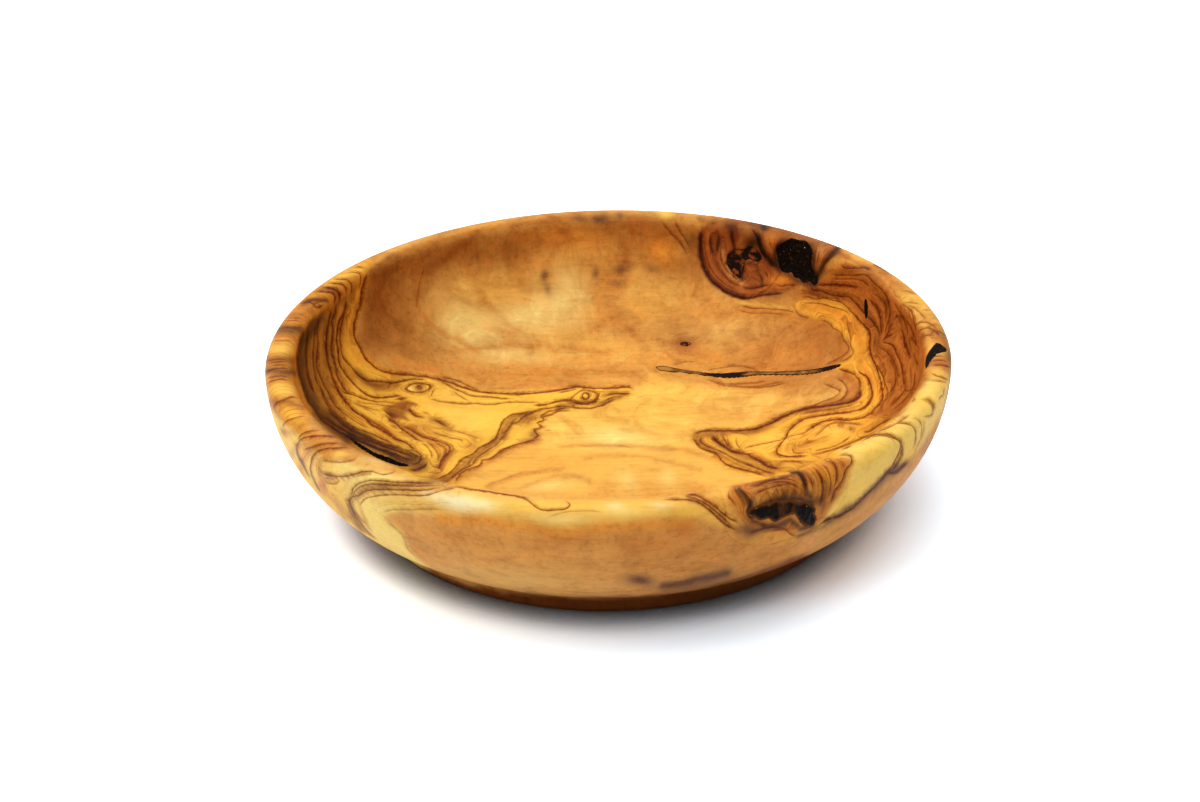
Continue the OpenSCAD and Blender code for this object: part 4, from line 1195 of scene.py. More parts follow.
def share_out(strokes):
    """Sets of strokes in which close neighbours are kept apart, judged by every third point."""
    sets = [[] for _ in range(LINE_SETS)]
    for stroke in strokes:
        gaps = []
        for others in sets:
            if not others:
                gaps.append(np.inf)
                continue
            taken = np.concatenate([other.points[::3] for other in others])
            gaps.append(np.linalg.norm(taken[:, None] - stroke.points[None, ::3], axis=2).min())
        sets[int(np.argmax(gaps))].append(stroke)
    return sets


def all_strokes():
    """Every traced line's strokes in sets, each stroke with a level of its own among the growth layers."""
    strokes = [stroke for family in LINE_FAMILIES for line in family for stroke in traced(*line)]
    for number, stroke in enumerate(strokes):
        stroke.level = LAYER_SPAN * (number * LAYER_STEP % 1)
    return share_out(strokes)


STROKES = all_strokes()


def lay_lines(points):
    """Offset from each set's nearest line in half widths, its strength, gap to any line and layer."""
    offset = np.full((len(points), LINE_SETS), FAR_OFFSET)
    weight = np.zeros((len(points), LINE_SETS))
    nearest = np.full((len(points), LINE_SETS), FAR_OFFSET)
    level = np.zeros(len(points))
    pulls = np.full(len(points), LEAST_PULL)
    for k, strokes in enumerate(STROKES):
        for stroke in strokes:
            rows = np.where(np.all((points > stroke.low) & (points < stroke.high), axis=1))[0]
            if len(rows) == 0:
                continue
            distance, signed, half_width, strength = stroke.measure(points[rows])
            pull = (np.maximum(1 - distance / LINE_RANGE, 0) / (distance + PULL_SOFTNESS)) ** 2
            level[rows] += stroke.level * pull
            pulls[rows] += pull
            closer = (distance < nearest[rows, k]) & (distance < LINE_RANGE)
            rows = rows[closer]
            nearest[rows, k] = distance[closer]
            offset[rows, k] = signed[closer] / half_width[closer]
            reached = distance[closer] < half_width[closer] + LINE_REACH
            weight[rows, k] = np.where(reached, strength[closer], 0)
    return offset, weight, nearest.min(1), level / pulls


# Ground colours, painted as the photograph's camera sees them

def near(places, chain, reach):
    """Which places lie within reach of the box round a chain of points."""
    return np.where(np.all((places > chain.min(0) - reach) & (places < chain.max(0) + reach), axis=1))[0]


def patch_share(pixels, x, y, rx, ry, turn):
    """Soft oval patch: its middle, its two radii and its turn in degrees."""
    c = math.cos(math.radians(turn))
    s = math.sin(math.radians(turn))
    across = pixels - np.array([x, y])
    a = (across[:, 0] * c + across[:, 1] * s) / rx
    b = (across[:, 1] * c - across[:, 0] * s) / ry
    return np.exp(-(a * a + b * b))


def edge_gap(pixels, outline):
    """Distance from each pixel to a chain of points."""
    gap = np.full(len(pixels), np.inf)
    for a, b in zip(outline[:-1], outline[1:]):
        step = b - a
        share = np.clip(((pixels - a) @ step) / (step @ step + TINY), 0, 1)
        gap = np.minimum(gap, np.linalg.norm(pixels - a - share[:, None] * step, axis=1))
    return gap


def within(places, outline):
    """Which places lie inside a closed outline."""
    inside = np.zeros(len(places), bool)
    for a, b in zip(outline, np.roll(outline, -1, axis=0)):
        crosses = (a[1] > places[:, 1]) != (b[1] > places[:, 1])
        if crosses.any():
            x = (b[0] - a[0]) * (places[:, 1] - a[1]) / (b[1] - a[1]) + a[0]
            inside ^= crosses & (places[:, 0] < x)
    return inside


def inset(places, outline):
    """How far each place lies inside a closed outline, negative outside."""
    gap = edge_gap(places, np.vstack([outline, outline[:1]]))
    return np.where(within(places, outline), gap, -gap)


def zone_share(pixels, soft, points):
    """Area with an outline whose edge is soft over some pixels."""
    outline = curve(points, PAINT_SPACING, closed=True)
    share = np.zeros(len(pixels))
    close = near(pixels, outline, soft)
    if len(close):
        share[close] = smooth(inset(pixels[close], outline) / (2 * soft) + 0.5)
    return share


def band_share(pixels, width, points):
    """Soft band along a chain of points."""
    chain = curve(points, PAINT_SPACING)
    share = np.zeros(len(pixels))
    close = near(pixels, chain, BAND_REACH * width)
    if len(close):
        share[close] = np.exp(-(edge_gap(pixels[close], chain) / width) ** 2)
    return share


SHARES = {"patch": patch_share, "zone": zone_share, "band": band_share}


def seen(points, normals):
    """Which points the photograph's camera sees."""
    facing = ((EYE - points) * normals).sum(1) > 0
    eye = Vector(EYE)
    for k in np.where(facing)[0]:
        start = Vector(points[k] + normals[k] * SIGHT_LIFT)
        facing[k] = TREE.ray_cast(start, (eye - start).normalized())[0] is None
    return facing


def spread(values, known, faces, rest):
    """Values carried on from the known points of a mesh over the others, drawn towards a rest value."""
    loops = [(face[i - 1], face[i]) for face in faces for i in range(len(face))]
    edges = np.unique(np.sort(np.array(loops), axis=1), axis=0)
    ends = np.concatenate([edges[:, 0], edges[:, 1]])
    others = np.concatenate([edges[:, 1], edges[:, 0]])
    count = np.maximum(np.bincount(ends, minlength=len(values)), 1)
    values = values.copy()
    values[~known] = rest[~known]
    for _ in range(SPREAD_ROUNDS):
        mean = [np.bincount(ends, values[others, c], len(values)) / count for c in range(values.shape[1])]
        mean = np.column_stack(mean)
        values[~known] = ((1 - SPREAD_PULL) * mean + SPREAD_PULL * rest)[~known]
    return values


def warped_pixels(points):
    """Photograph pixels of points, moved about unevenly so that painted edges aren't smooth."""
    noise.seed_set(WARP_SEED)
    pixels = pixel_of(points)
    for size, reach in WARPS:
        pixels += reach * np.array([noise.noise_vector(point / size)[:2] for point in points])
    return pixels


def ground(points, normals, faces):
    """Ground colour of each point, how far it lies out of the photograph's view, and how figured it is."""
    in_view = seen(points, normals)
    pixels = warped_pixels(points)
    figured = np.max([zone_share(pixels, FIGURED_SOFT, outline) for outline in FIGURED], axis=0)
    colours = np.tile(GROUND, (len(points), 1))
    for colour, strength, kind, values in PAINT:
        share = strength * SHARES[kind](pixels, *values)[:, None]
        colours = colours * (1 - share) + colour * share
    hidden = (~in_view).astype(float)[:, None]
    rest = np.tile(np.append(UNSEEN, [1.0, 0.0]), (len(points), 1))
    values = spread(np.column_stack([colours, hidden, figured]), in_view, faces, rest)
    return values[:, :3], values[:, 3], values[:, 4]


def set_value(mesh, name, values):
    kind, key = ("FLOAT", "value") if values.ndim == 1 else ("FLOAT_VECTOR", "vector")
    mesh.attributes.new(name, kind, "POINT").data.foreach_set(key, values.astype(np.float32).ravel())


def paint(mesh, points, normals, faces):
    """Writes the wood's ground colour and growth lines on a mesh."""
    offset, weight, gap, layer = lay_lines(points)
    colours, hidden, figured = ground(points, normals, faces)
    rim = zone_share(pixel_of(points), LAYERED_SOFT, LEFT_RIM)
    layer = layer * (1 - rim) + points[:, 1] * RIM_LAYERS * rim
    gap = gap * (1 - rim)
    set_value(mesh, "wood_colour", colours)
    set_value(mesh, "out_of_view", hidden)
    set_value(mesh, "figured", figured)
    set_value(mesh, "line_gap", gap)
    set_value(mesh, "layer", layer)
    for k in range(0, LINE_SETS, SETS_IN_VECTOR):
        set_value(mesh, f"line_offset_{k}", offset[:, k:k + SETS_IN_VECTOR])
        set_value(mesh, f"line_weight_{k}", weight[:, k:k + SETS_IN_VECTOR])


# Materials: scales of noise are to a metre

# Growth lines, in half widths: waviness, slimmest and fullest factor on the offset, ranges over which the
# core and the border fade, and minus the factor by which the border is narrower on one side of a line
LINE_WAVE = 2.4
LINE_SLIMNESS = (1.25, 0.65)
CORE_FADE = (0.15, 1.0)
BORDER_FADE = (0.5, 4.2)
INNER_BORDER = -2.2

# Growth layers between the lines: waviness in levels, layers to a level, power of the fade within a layer,
# and range of gaps to a line, in millimetres, over which the layers die out
LEVEL_WAVE = 0.35
LAYERS_IN_LEVEL = 4.5
LAYER_FADE = 1.5
LAYER_GAPS = (1.5, 5.0)

# Growth layers out of view, in metres: the trunk's axis, waves and ruffles of a layer
TRUNK_Y = -0.16
TRUNK_Z = 0.2
LAYER_WAVE = 0.055
LAYER_RUFFLE = 0.0016

# Places in metres: start of the bowl's back, height of the upright streaks and the radius where they stop
BACK_START = (-0.01, 0.02)
STREAK_HEIGHTS = (0.024, 0.044)
STREAK_RADII = (0.0915, 0.094)

# Ground colour's green channel: range over which the wood gets calmer and less grained with paleness
CALM_RANGE = (0.45, 0.65)
GRAINED_RANGE = (0.3, 0.5)

# Crack's filler along x, in metres: end of its pale stretch, both ends of the black one, start of the black
# tip, and how ragged these are
PALE_END = (0.0215, 0.0195)
BLACK_START = (0.029, 0.033)
BLACK_END = (0.046, 0.043)
TIP_START = (0.064, 0.069)
STRETCH_RAGGED = 0.006


class Shader:
    """The nodes of a material or of the world."""

    def __init__(self, owner, output="ShaderNodeOutputMaterial"):
        self.owner = owner
        self.owner.use_nodes = True
        self.tree = self.owner.node_tree
        self.tree.nodes.clear()
        self.output = self.node(output)

    @cached_property
    def place(self):
        """The place on the part, in metres."""
        return self.node("ShaderNodeTexCoord").outputs["Object"]

    def node(self, kind, inputs=None, **settings):
        made = self.tree.nodes.new(kind)
        for key, value in settings.items():
            setattr(made, key, value)
        for key, value in (inputs or {}).items():
            self.feed(made.inputs[key], value)
        return made

    def feed(self, socket, value):
        if isinstance(value, bpy.types.NodeSocket):
            self.tree.links.new(value, socket)
        else:
            socket.default_value = value

    def math(self, operation, *values):
        return self.node("ShaderNodeMath", dict(enumerate(values)), operation=operation).outputs[0]

    def times(self, first, second):
        return self.math("MULTIPLY", first, second)

    def plus(self, first, second):
        return self.math("ADD", first, second)

    def minus(self, first, second):
        return self.math("SUBTRACT", first, second)

    def larger(self, first, second):
        return self.math("MAXIMUM", first, second)

    def mix(self, share, first, second, blend="MIX"):
        inputs = {0: share, 6: first, 7: second}
        return self.node("ShaderNodeMix", inputs, data_type="RGBA", blend_type=blend).outputs[2]

    def toned(self, colour, share, factor):
        """A colour multiplied by a factor as far as the share goes."""
        return self.mix(share, colour, rgba(factor), "MULTIPLY")

    def noise(self, scale, detail=2.0, rough=0.5, swirl=0.0):
        """Noise at the place, with one scale or one for each of x, y and z."""
        vector = self.place
        if isinstance(scale, tuple):
            vector = self.node("ShaderNodeMapping", {"Vector": vector, "Scale": scale}).outputs[0]
            scale = 1.0
        inputs = {"Vector": vector, "Scale": scale,
                  "Detail": detail, "Roughness": rough, "Distortion": swirl}
        return self.node("ShaderNodeTexNoise", inputs).outputs["Fac"]

    def noise_along(self, value, scale, detail):
        inputs = {"W": value, "Scale": scale, "Detail": detail}
        return self.node("ShaderNodeTexNoise", inputs, noise_dimensions="1D").outputs["Fac"]

    def remap(self, value, span, to=(0.0, 1.0)):
        """A value's smooth way from one number to another over a span."""
        inputs = {"Value": value, "From Min": span[0], "From Max": span[1], "To Min": to[0], "To Max": to[1]}
        return self.node("ShaderNodeMapRange", inputs, interpolation_type="SMOOTHSTEP").outputs[0]

    def number(self, name):
        """A number that the mesh carries."""
        return self.node("ShaderNodeAttribute", attribute_name=name).outputs["Fac"]

    def vector(self, name):
        """A vector that the mesh carries."""
        return self.node("ShaderNodeAttribute", attribute_name=name).outputs["Vector"]

    def split(self, vector):
        return self.node("ShaderNodeSeparateXYZ", {0: vector}).outputs

    def bump(self, height, strength, distance):
        inputs = {"Height": height, "Strength": strength, "Distance": distance}
        return self.node("ShaderNodeBump", inputs).outputs[0]

    def finish(self, shader):
        self.tree.links.new(shader.outputs[0], self.output.inputs["Surface"])
        return self.owner

    def solid(self, colour, rough, gloss, **others):
        """The finished material of a solid surface."""
        inputs = {"Base Color": colour, "Roughness": rough, "Specular IOR Level": gloss, **others}
        return self.finish(self.node("ShaderNodeBsdfPrincipled", inputs))


def rgba(colour):
    return (*[float(c) for c in colour], 1.0)


def line_share(s):
    """How far the traced growth lines darken a place: the lines' cores and their soft borders."""
    wave = s.times(s.minus(s.noise(300.0, detail=4.0, rough=0.7), 0.5), LINE_WAVE)
    slim = s.remap(s.noise(110.0, detail=1.0), (0.3, 0.7), LINE_SLIMNESS)
    core = 0.0
    border = 0.0
    for k in range(0, LINE_SETS, SETS_IN_VECTOR):
        offsets = s.split(s.vector(f"line_offset_{k}"))
        weights = s.split(s.vector(f"line_weight_{k}"))
        for offset, weight in zip(offsets, weights):
            bent = s.times(s.plus(offset, wave), slim)
            dark = s.remap(s.math("ABSOLUTE", bent), CORE_FADE, (1.0, 0.0))
            core = s.larger(core, s.times(dark, weight))
            lean = s.larger(bent, s.times(bent, INNER_BORDER))
            shade = s.remap(lean, BORDER_FADE, (1.0, 0.0))
            border = s.larger(border, s.times(shade, weight))
    feather = s.remap(s.noise(700.0), (0.35, 0.65), (0.45, 1.0))
    return core, s.times(border, feather)


def unseen_figure(s):
    """Thin dark lines and noise of broad bands in the growth layers where the photograph doesn't reach."""
    _, y, z = s.split(s.place)
    across = s.math("POWER", s.minus(y, TRUNK_Y), 2.0)
    rise = s.math("POWER", s.minus(z, TRUNK_Z), 2.0)
    layer = s.math("SQRT", s.plus(across, rise))
    layer = s.plus(layer, s.times(s.noise(16.0), LAYER_WAVE))
    layer = s.plus(layer, s.times(s.noise(260.0, detail=3.0, rough=0.7), LAYER_RUFFLE))
    lines = s.minus(s.noise_along(layer, scale=160.0, detail=2.0), 0.5)
    thin = s.remap(s.math("ABSOLUTE", lines), (0.0, 0.04), (1.0, 0.0))
    thin = s.times(thin, s.remap(s.noise(38.0), (0.35, 0.6), (0.15, 1.0)))
    return thin, s.noise_along(layer, scale=70.0, detail=1.0)


def layer_share(s):
    """Growth layers between the traced lines: each darkens towards its edge by an amount of its own."""
    wave = s.times(s.noise(70.0, detail=3.0, rough=0.55), LEVEL_WAVE)
    layer = s.times(s.plus(s.number("layer"), wave), LAYERS_IN_LEVEL)
    row = s.math("FLOOR", layer)
    amount = s.node("ShaderNodeTexWhiteNoise", {"W": row}, noise_dimensions="1D").outputs["Value"]
    fade = s.math("POWER", s.math("FRACT", layer), LAYER_FADE)
    close = s.remap(s.number("line_gap"), LAYER_GAPS, (1.0, 0.0))
    return s.times(s.times(amount, fade), s.times(close, s.number("figured")))


def plain_back(s, hidden):
    """Where the wood is plain, at the back of the bowl."""
    other = s.larger(hidden, s.number("figured"))
    return s.times(s.minus(1.0, other), s.remap(s.split(s.place)[1], BACK_START))


def high_wall(s):
    """The upper part of the inner wall."""
    x, y, z = s.split(s.place)
    r = s.math("SQRT", s.plus(s.math("POWER", x, 2.0), s.math("POWER", y, 2.0)))
    return s.times(s.remap(z, STREAK_HEIGHTS), s.remap(r, STREAK_RADII, (1.0, 0.0)))


def figured_colour(s, colour, hidden, calm, bands, fibre, pores):
    """A ground colour with broad bands, tones, mottling, pale veins and clouds, grain, streaks and pores."""
    plain = plain_back(s, hidden)
    grained = s.remap(s.split(colour)[1], GRAINED_RANGE, (1.0, 0.25))
    tone = s.noise((30.0, 130.0, 130.0), detail=4.0, rough=0.6)
    mottle = s.noise(120.0, detail=5.0, rough=0.65)
    cloud = s.noise(62.0, detail=6.0, rough=0.62, swirl=1.2)
    grain = s.noise(520.0, detail=5.0, rough=0.75)
    streak = s.noise((420.0, 420.0, 60.0), detail=4.0, rough=0.6)
    # Each step: where it is laid, its noise and the span over which it comes in, its full share, its factor
    steps = [
        (hidden, bands, (0.45, 0.68), 0.7, SHADE),
        (calm, tone, (0.48, 0.8), 0.45, SHADE),
        (1.0, tone, (0.5, 0.25), 0.8, GLEAM),
        (calm, mottle, (0.5, 0.72), 0.32, SHADE),
        (1.0, mottle, (0.5, 0.32), 0.8, GLEAM),
        (plain, cloud, (0.49, 0.36), 0.75, VEIL),
        (plain, cloud, (0.51, 0.66), 0.4, SHADE),
        (grained, grain, (0.46, 0.72), 0.45, SHADE),
        (1.0, grain, (0.5, 0.3), 0.5, GLEAM),
        (high_wall(s), streak, (0.5, 0.7), 0.3, SHADE),
        (1.0, fibre, (0.48, 0.75), 0.25, SHADE),
        (1.0, pores, (0.68, 0.8), 0.2, SHADE),
    ]
    for where, value, span, share, factor in steps:
        colour = s.toned(colour, s.times(where, s.remap(value, span, (0.0, share))), factor)
    return colour


def olive_wood(name):
    """Oiled olive wood: painted ground with its figure, growth layers and traced growth lines."""
    s = Shader(bpy.data.materials.new(name))
    colour = s.vector("wood_colour")
    hidden = s.remap(s.number("out_of_view"), (0.25, 0.9))
    calm = s.remap(s.split(colour)[1], CALM_RANGE, (1.0, 0.3))
    thin, bands = unseen_figure(s)
    fibre = s.noise((35.0, 800.0, 800.0), detail=5.0, rough=0.65)
    pores = s.noise((260.0, 2400.0, 2400.0), detail=1.0)
    colour = figured_colour(s, colour, hidden, calm, bands, fibre, pores)
    colour = s.toned(colour, s.times(calm, layer_share(s)), SHADE)
    core, border = line_share(s)
    colour = s.toned(colour, border, SHADE)
    dark = s.larger(core, s.times(s.times(thin, hidden), 0.8))
    dark = s.times(dark, s.remap(s.noise(130.0), (0.3, 0.6), (0.85, 1.0)))
    colour = s.toned(colour, dark, LINE_SHADE)
    height = s.minus(s.times(fibre, 0.6), s.times(pores, 0.8))
    rough = s.remap(s.noise(90.0, detail=3.0), (0.3, 0.7), (0.44, 0.58))
    return s.solid(colour, rough, gloss=0.07, Normal=s.bump(height, strength=0.12, distance=0.0004))


def dark_filler():
    """Polished dark filler with brown streaks, pale specks of painted glint, and browner along its edge."""
    s = Shader(bpy.data.materials.new("dark_filler_polished"))
    streak = s.noise((420.0, 420.0, 160.0), detail=4.0, rough=0.6)
    colour = s.mix(s.remap(streak, (0.5, 0.7)), rgba(SOOT * 0.6), rgba(UMBER * 0.6))
    edge = s.minus(s.number("inside"), s.times(streak, 1.6))
    colour = s.mix(s.remap(edge, (-0.6, 0.5), (1.0, 0.0)), colour, rgba(UMBER))
    # Pale specks: painted glints on the polished filler
    glints = s.noise(1500.0, detail=1.0)
    colour = s.mix(s.remap(glints, (0.77, 0.81)), colour, rgba(CREAM))
    rough = s.remap(s.noise(500.0), (0.35, 0.65), (0.25, 0.6))
    return s.solid(colour, rough, gloss=0.02)


def dark_bark():
    """Black broken bark with brown grains and a few pale specks of painted glint."""
    s = Shader(bpy.data.materials.new("bark_black"))
    grains = s.noise(900.0, detail=3.0, rough=0.6)
    colour = s.mix(s.remap(grains, (0.57, 0.74)), rgba(SOOT * 0.4), rgba(UMBER * 0.6))
    # Pale specks: painted glints on the bark
    glints = s.noise(1300.0, detail=1.0)
    colour = s.mix(s.remap(glints, (0.76, 0.8)), colour, rgba(TAN))
    return s.solid(colour, rough=0.85, gloss=0.06, Normal=s.bump(grains, strength=0.4, distance=0.0005))


def decayed_wood():
    """Dark decayed heartwood in streaks."""
    s = Shader(bpy.data.materials.new("heartwood_decayed"))
    streak = s.noise((320.0, 180.0, 440.0), detail=4.0, rough=0.65)
    colour = s.mix(s.remap(streak, (0.48, 0.66)), rgba(SOOT), rgba(RED_BROWN))
    return s.solid(colour, s.remap(streak, (0.3, 0.7), (0.5, 0.7)), gloss=0.04)


def grey_filler():
    """Grey-brown filler of the crack: pale at its left end, black in its left half and at its right tip."""
    s = Shader(bpy.data.materials.new("grey_filler_polished"))
    grain = s.noise((140.0, 900.0, 900.0), detail=4.0, rough=0.6)
    colour = s.mix(s.remap(grain, (0.35, 0.65)), rgba(UMBER), rgba(TAN * 0.5))
    x = s.plus(s.split(s.place)[0], s.times(s.minus(grain, 0.5), STRETCH_RAGGED))
    black = s.times(s.remap(x, BLACK_START), s.remap(x, BLACK_END))
    colour = s.mix(s.larger(black, s.remap(x, TIP_START)), colour, rgba(SOOT))
    colour = s.mix(s.remap(x, PALE_END), colour, rgba(TAN * 0.6))
    rim = s.remap(s.number("inside"), (0.15, 0.5), (0.85, 0.0))
    colour = s.mix(rim, colour, rgba(SOOT))
    return s.solid(colour, rough=0.6, gloss=0.04)


# Inlays: outlines on the unrolled surface, in millimetres

RIM_ROW = int(np.argmax(SECTION.points[:, 1]))
FOOT_ROW = int(np.argmax(SECTION.points[RIM_ROW:, 1] < FOOT_H)) + RIM_ROW
INNER_ROWS = slice(0, RIM_ROW)
OUTER_ROWS = slice(FOOT_ROW, RIM_ROW, -1)


def knot_edge(angle, drop, width, height, points=25):
    """Outline of an oval knot that runs right through the wall and out over the rim."""
    turn = np.linspace(0, math.pi, points)
    z = DISH_H - drop - height / 2 * np.sin(turn)
    angles = math.radians(angle) + width / 2 * np.cos(turn) / (DISH_R - WALL_T / 2)
    faces = [np.interp(z, SECTION.points[rows, 1], SECTION.length[rows])
             for rows in (INNER_ROWS, OUTER_ROWS)]
    return np.vstack([polar(faces[0], angles), polar(faces[1], angles)[::-1]])


def traced_edge(pixel_points):
    """Outline on the surface of points in the photograph."""
    points, _, _ = cast(curve(pixel_points, EDGE_SPACING, closed=True))
    return unroll(points)


def plan_edge(plan_points):
    """Outline on the inner face of places seen from above, in millimetres."""
    x, y = curve(plan_points, PLAN_SPACING, closed=True).T
    length = np.interp(np.hypot(x, y), SECTION.points[INNER_ROWS, 0], SECTION.length[INNER_ROWS])
    return polar(length, np.arctan2(y, x))


FRONT_KNOT_EDGE = knot_edge(angle=-62.5, drop=7.9, width=36.0, height=21.0)
BACK_KNOT_EDGE = knot_edge(angle=60.0, drop=6.9, width=32.0, height=32.0)
FRONT_FILL_EDGE = traced_edge([
    (748, 515), (749, 509), (756, 506), (763, 503), (770, 503), (775, 500), (783, 501), (790, 499),
    (800, 502), (806, 501), (812, 504), (816, 509), (815, 514), (817, 519), (812, 527), (804, 526),
    (799, 521), (795, 515), (788, 516), (782, 519), (775, 522), (768, 519), (762, 521), (755, 518),
])
BACK_HEART_EDGE = traced_edge([
    (727, 263), (728, 254), (735, 251), (744, 249), (750, 246), (757, 250), (762, 258), (757, 262),
    (750, 259), (745, 262), (742, 270), (740.5, 279), (736, 276), (730, 270),
])
BACK_POCKET_EDGE = traced_edge([
    (777, 256), (776, 249), (780, 244), (786, 241), (792, 238), (799, 240), (806, 241), (811, 247),
    (812, 255), (811, 262), (813, 270), (818, 280), (814, 285), (809, 281), (803, 283), (799, 278),
    (794, 277), (791, 272), (785, 273), (780, 269),
])
RIM_POCKET_EDGE = traced_edge([
    (925.6, 369), (926, 358), (931, 349), (936.7, 343), (942, 345), (947, 350.5), (940, 353), (934, 357),
    (930, 362),
])
WALL_SLOT_EDGE = traced_edge([
    (865, 299), (867, 301), (867.6, 308), (867, 316), (866, 319), (864.6, 314), (864.3, 306),
])
CRACK_EDGE = traced_edge([
    (656, 366.8), (664, 366), (674, 367.8), (690, 370.5), (706, 372.6), (722, 373.2), (736, 372.4),
    (750, 371.2), (770, 371.6), (790, 371), (808, 369.8), (820, 368), (830, 365.8), (841, 364), (838, 367),
    (826, 370.6), (812, 373.4), (795, 374.6), (775, 374.6), (757, 375), (744, 376.6), (730, 377.6),
    (716, 376.8), (704, 375), (690, 373.2), (674, 371.6), (664, 370.8), (658, 369.4),
])
LEFT_POCKET_EDGE = plan_edge([
    (-77, -1.6), (-73, -2.8), (-70, -4), (-66, -4.8), (-63, -6.6), (-60.5, -7.6), (-60, -8.8), (-62, -9.2),
    (-68, -7.4), (-73, -5.2), (-77, -3),
])
PIN_KNOT_EDGE = traced_edge([
    (680, 343.5), (682, 342.2), (686, 341.9), (690, 342.8), (691.5, 344), (688, 345.4), (684, 345.6),
    (681, 344.9),
])
EDGES = [FRONT_KNOT_EDGE, BACK_KNOT_EDGE, FRONT_FILL_EDGE, BACK_HEART_EDGE, BACK_POCKET_EDGE,
         RIM_POCKET_EDGE, WALL_SLOT_EDGE, CRACK_EDGE, LEFT_POCKET_EDGE, PIN_KNOT_EDGE]


# Pieces

def mesh_piece(name, points, faces, material):
    """A piece of the dish from points in millimetres, riding on the part's one body."""
    mesh = bpy.data.meshes.new(name)
    mesh.from_pydata((points * MM).tolist(), [], faces)
    mesh.shade_smooth()
    mesh.set_sharp_from_angle(angle=SHARP_ANGLE)
    mesh.materials.append(material)
    piece = add_object(name, mesh)
    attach(piece, "root")
    return piece


def sunk(flat, points, normals, edges):
    """Surface points let down under the inlays."""
    points = points.copy()
    for outline in edges:
        rows = near(flat, outline, 0.0)
        if len(rows):
            share = smooth(inset(flat[rows], outline) / SINK_RUN)
            points[rows] -= normals[rows] * (SINK_DEPTH * share)[:, None]
    return points


def inlay_grid(outline, pitch):
    """Unrolled places, faces and insets of a square grid that covers an outline."""
    low = outline.min(0) - GRID_MARGIN * pitch
    count = np.ceil((outline.max(0) + GRID_MARGIN * pitch - low) / pitch).astype(int) + 1
    x, y = np.meshgrid(low[0] + pitch * np.arange(count[0]), low[1] + pitch * np.arange(count[1]))
    flat = np.column_stack([x.ravel(), y.ravel()])
    gap = inset(flat, outline)
    kept = gap > -INLAY_SKIRT
    faces = []
    for row in range(count[1] - 1):
        for column in range(count[0] - 1):
            corner = row * count[0] + column
            ring = (corner, corner + 1, corner + count[0] + 1, corner + count[0])
            if all(kept[k] for k in ring):
                faces.append(ring)
    used = np.unique(np.array(faces))
    number = np.full(len(flat), -1)
    number[used] = np.arange(len(used))
    faces = [tuple(int(number[k]) for k in face) for face in faces]
    return flat[used], faces, gap[used]


def closed_faces(faces, count):
    """Top faces with a bottom like them and sides between, where the bottom's points follow the top's."""
    sides = {}
    for face in faces:
        for a, b in zip((face[-1],) + face, face):
            if (b, a) in sides:
                del sides[(b, a)]
            else:
                sides[(a, b)] = (b, a, a + count, b + count)
    bottoms = [tuple(k + count for k in reversed(face)) for face in faces]
    return faces + bottoms + list(sides.values())


def make_inlay(name, node, slot, material, outline, pitch, height, hole_edges=()):
    """An inlay that fills an outline, with its surface raised by height(flat, gap) millimetres."""
    flat, faces, gap = inlay_grid(outline, pitch)
    points, normals = surface(flat)
    rise = height(flat, gap) + np.minimum(gap, 0) * SKIRT_SLOPE
    top = sunk(flat, points + normals * rise[:, None], normals, hole_edges)
    bottom = points - normals * INLAY_DEPTH
    every = closed_faces(faces, len(flat))
    piece = mesh_piece(name, np.vstack([top, bottom]), every, material)
    set_value(piece.data, "inside", np.tile(gap, 2))
    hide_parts(node)
    return piece, np.vstack([points, points]), np.vstack([normals, normals]), every


def make_dish(wood):
    points = sunk(FLAT, POINTS, NORMALS, EDGES)
    piece = mesh_piece("turned_dish", points, FACES, wood)
    paint(piece.data, POINTS, NORMALS, FACES)
    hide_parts("dish_body")


# Surfaces of the inlays: heights over the turned surface, in millimetres

def rising(gap, edge, middle, run):
    """Height that goes from the edge's to the middle's over a run inwards."""
    return edge + (middle - edge) * smooth(gap / run)


def lumps(flat, height, size, seed):
    """Even noise up to a height either way, in lumps of a size."""
    return height * np.array([noise.noise((x / size, y / size, seed)) for x, y in flat])


def flush(flat, gap):
    """Flush surface with a fine groove along the edge."""
    return rising(gap, edge=-0.07, middle=0.05, run=0.5) + lumps(flat, height=0.03, size=4.0, seed=1.0)


def lumpy(flat, gap):
    """Poured filler, full in the middle, with soft lumps."""
    soft = lumps(flat, height=0.22, size=1.8, seed=2.0) + lumps(flat, height=0.08, size=0.7, seed=3.0)
    return rising(gap, edge=0.0, middle=0.25, run=1.5) + soft


def crumbly(flat, gap):
    """Broken bark, sunk below the wood, in grains and pits."""
    grains = lumps(flat, height=0.5, size=1.5, seed=4.0) + lumps(flat, height=0.35, size=0.7, seed=5.0)
    full = rising(gap, edge=0.0, middle=1.0, run=0.8)
    return rising(gap, edge=0.05, middle=-0.85, run=1.2) + grains * full


def worn(flat, gap):
    """Narrow filling, a little below the wood."""
    return rising(gap, edge=0.08, middle=-0.12, run=0.6) + lumps(flat, height=0.05, size=1.2, seed=6.0)


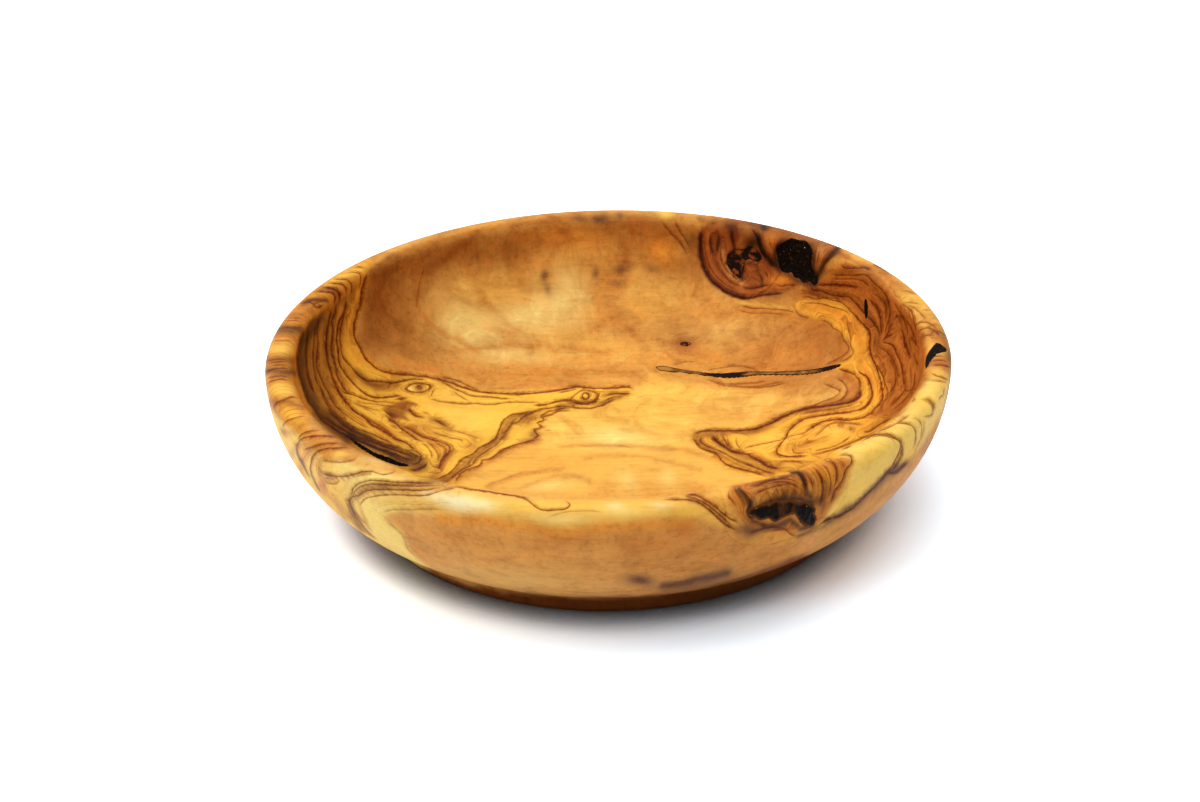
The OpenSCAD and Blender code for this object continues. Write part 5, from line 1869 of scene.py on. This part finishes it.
def make_inlays(wood):
    """Two knots, painted like the dish, and eight plugs: each with its node, outline, pitch and surface."""
    knots = [
        ("front_knot", "front_rim_knot", FRONT_KNOT_EDGE, [FRONT_FILL_EDGE]),
        ("back_knot", "back_wall_knot", BACK_KNOT_EDGE, [BACK_HEART_EDGE, BACK_POCKET_EDGE]),
    ]
    for name, node, edge, holes in knots:
        inlay = make_inlay(name, node, "knot_wood", wood, edge, KNOT_PITCH, flush, holes)
        piece, points, normals, faces = inlay
        paint(piece.data, points, normals, faces)
    bark = dark_bark()
    decayed = decayed_wood()
    filler = dark_filler()
    plugs = [
        ("front_filler", "front_knot_fill", "dark_filler", filler, FRONT_FILL_EDGE, PLUG_PITCH, lumpy),
        ("back_heart", "back_knot_heart", "decayed_wood", decayed, BACK_HEART_EDGE, PLUG_PITCH, worn),
        ("back_pocket", "back_bark_pocket", "bark", bark, BACK_POCKET_EDGE, PLUG_PITCH, crumbly),
        ("rim_pocket", "right_rim_pocket", "bark", bark, RIM_POCKET_EDGE, PLUG_PITCH, worn),
        ("wall_slot", "right_wall_slot", "bark", bark, WALL_SLOT_EDGE, SMALL_PITCH, worn),
        ("crack_filling", "floor_crack_fill", "grey_filler", grey_filler(), CRACK_EDGE, PLUG_PITCH, worn),
        ("left_pocket", "left_floor_pocket", "bark", bark, LEFT_POCKET_EDGE, POCKET_PITCH, crumbly),
        ("pin_knot", "floor_pin_knot", "decayed_wood", decayed, PIN_KNOT_EDGE, SMALL_PITCH, worn),
    ]
    for plug in plugs:
        make_inlay(*plug)


# Stage: light from all round, the floor's own colour and the one that the camera is shown, half the floor's
# width and the reach of the contact shadow in metres, with its range and samples; the lamps' aim, places and
# sizes in metres and their powers in watts

WHITE = (1.0, 1.0, 1.0)
BLACK = (0.0, 0.0, 0.0)
WORLD_LIGHT = 0.3
FLOOR_COLOUR = (0.85, 0.85, 0.85)
FLOOR_SHOWN = (1.6, 1.85, 2.05)
FLOOR_HALF = 1.0
CONTACT_REACH = 0.013
CONTACT_RANGE = (0.15, 0.7)
CONTACT_SAMPLES = 8
LIGHT_AIM = Vector((0, 0, 0.03))
LIGHTS = [
    ("overhead", (-0.4, 0.3, 1.7), 3.0, 47.0),
    ("front_left", (-1.44, -1.39, 1.5), 0.6, 7.3),
    ("front_right", (0.7, -1.87, 1.5), 0.6, 5.2),
]


def shown_rays(s):
    """Rays that show the stage: to the camera, in a gloss or through glass."""
    path = s.node("ShaderNodeLightPath").outputs
    return s.larger(s.larger(path["Is Camera Ray"], path["Is Glossy Ray"]), path["Is Transmission Ray"])


def floor_white():
    """Plain white floor, paler to the eye than in the light that it throws back, dark under the dish."""
    s = Shader(bpy.data.materials.new("floor_white"))
    colour = s.mix(shown_rays(s), rgba(FLOOR_COLOUR), rgba(FLOOR_SHOWN))
    clear = s.node("ShaderNodeAmbientOcclusion", {"Distance": CONTACT_REACH}, samples=CONTACT_SAMPLES)
    colour = s.mix(s.remap(clear.outputs["AO"], CONTACT_RANGE), rgba(BLACK), colour)
    return s.finish(s.node("ShaderNodeBsdfDiffuse", {"Color": colour}))


def make_floor():
    corners = [(x * FLOOR_HALF, y * FLOOR_HALF, 0) for x, y in [(-1, -1), (1, -1), (1, 1), (-1, 1)]]
    mesh = bpy.data.meshes.new("floor")
    mesh.from_pydata(corners, [], [(0, 1, 2, 3)])
    mesh.materials.append(floor_white())
    floor = add_object("floor", mesh)


def make_light(name, place, size, power):
    data = bpy.data.lights.new(name, "AREA")
    data.size = size
    data.energy = power
    light = add_object(name, data)
    light.location = place
    light.rotation_euler = (LIGHT_AIM - Vector(place)).to_track_quat("-Z", "Y").to_euler()


def make_world():
    """Soft light from all round, which the camera is shown as white."""
    s = Shader(bpy.data.worlds.new("studio"), "ShaderNodeOutputWorld")
    soft = s.node("ShaderNodeBackground", {"Color": rgba(WHITE), "Strength": WORLD_LIGHT}).outputs[0]
    white = s.node("ShaderNodeBackground", {"Color": rgba(WHITE)}).outputs[0]
    bpy.context.scene.world = s.finish(s.node("ShaderNodeMixShader", {0: shown_rays(s), 1: soft, 2: white}))


make_camera()
make_world()
for light in LIGHTS:
    make_light(*light)
make_floor()
WOOD = olive_wood("olive_wood_oiled")
make_dish(WOOD)
make_inlays(WOOD)
bpy.context.scene.view_settings.view_transform = "Standard"
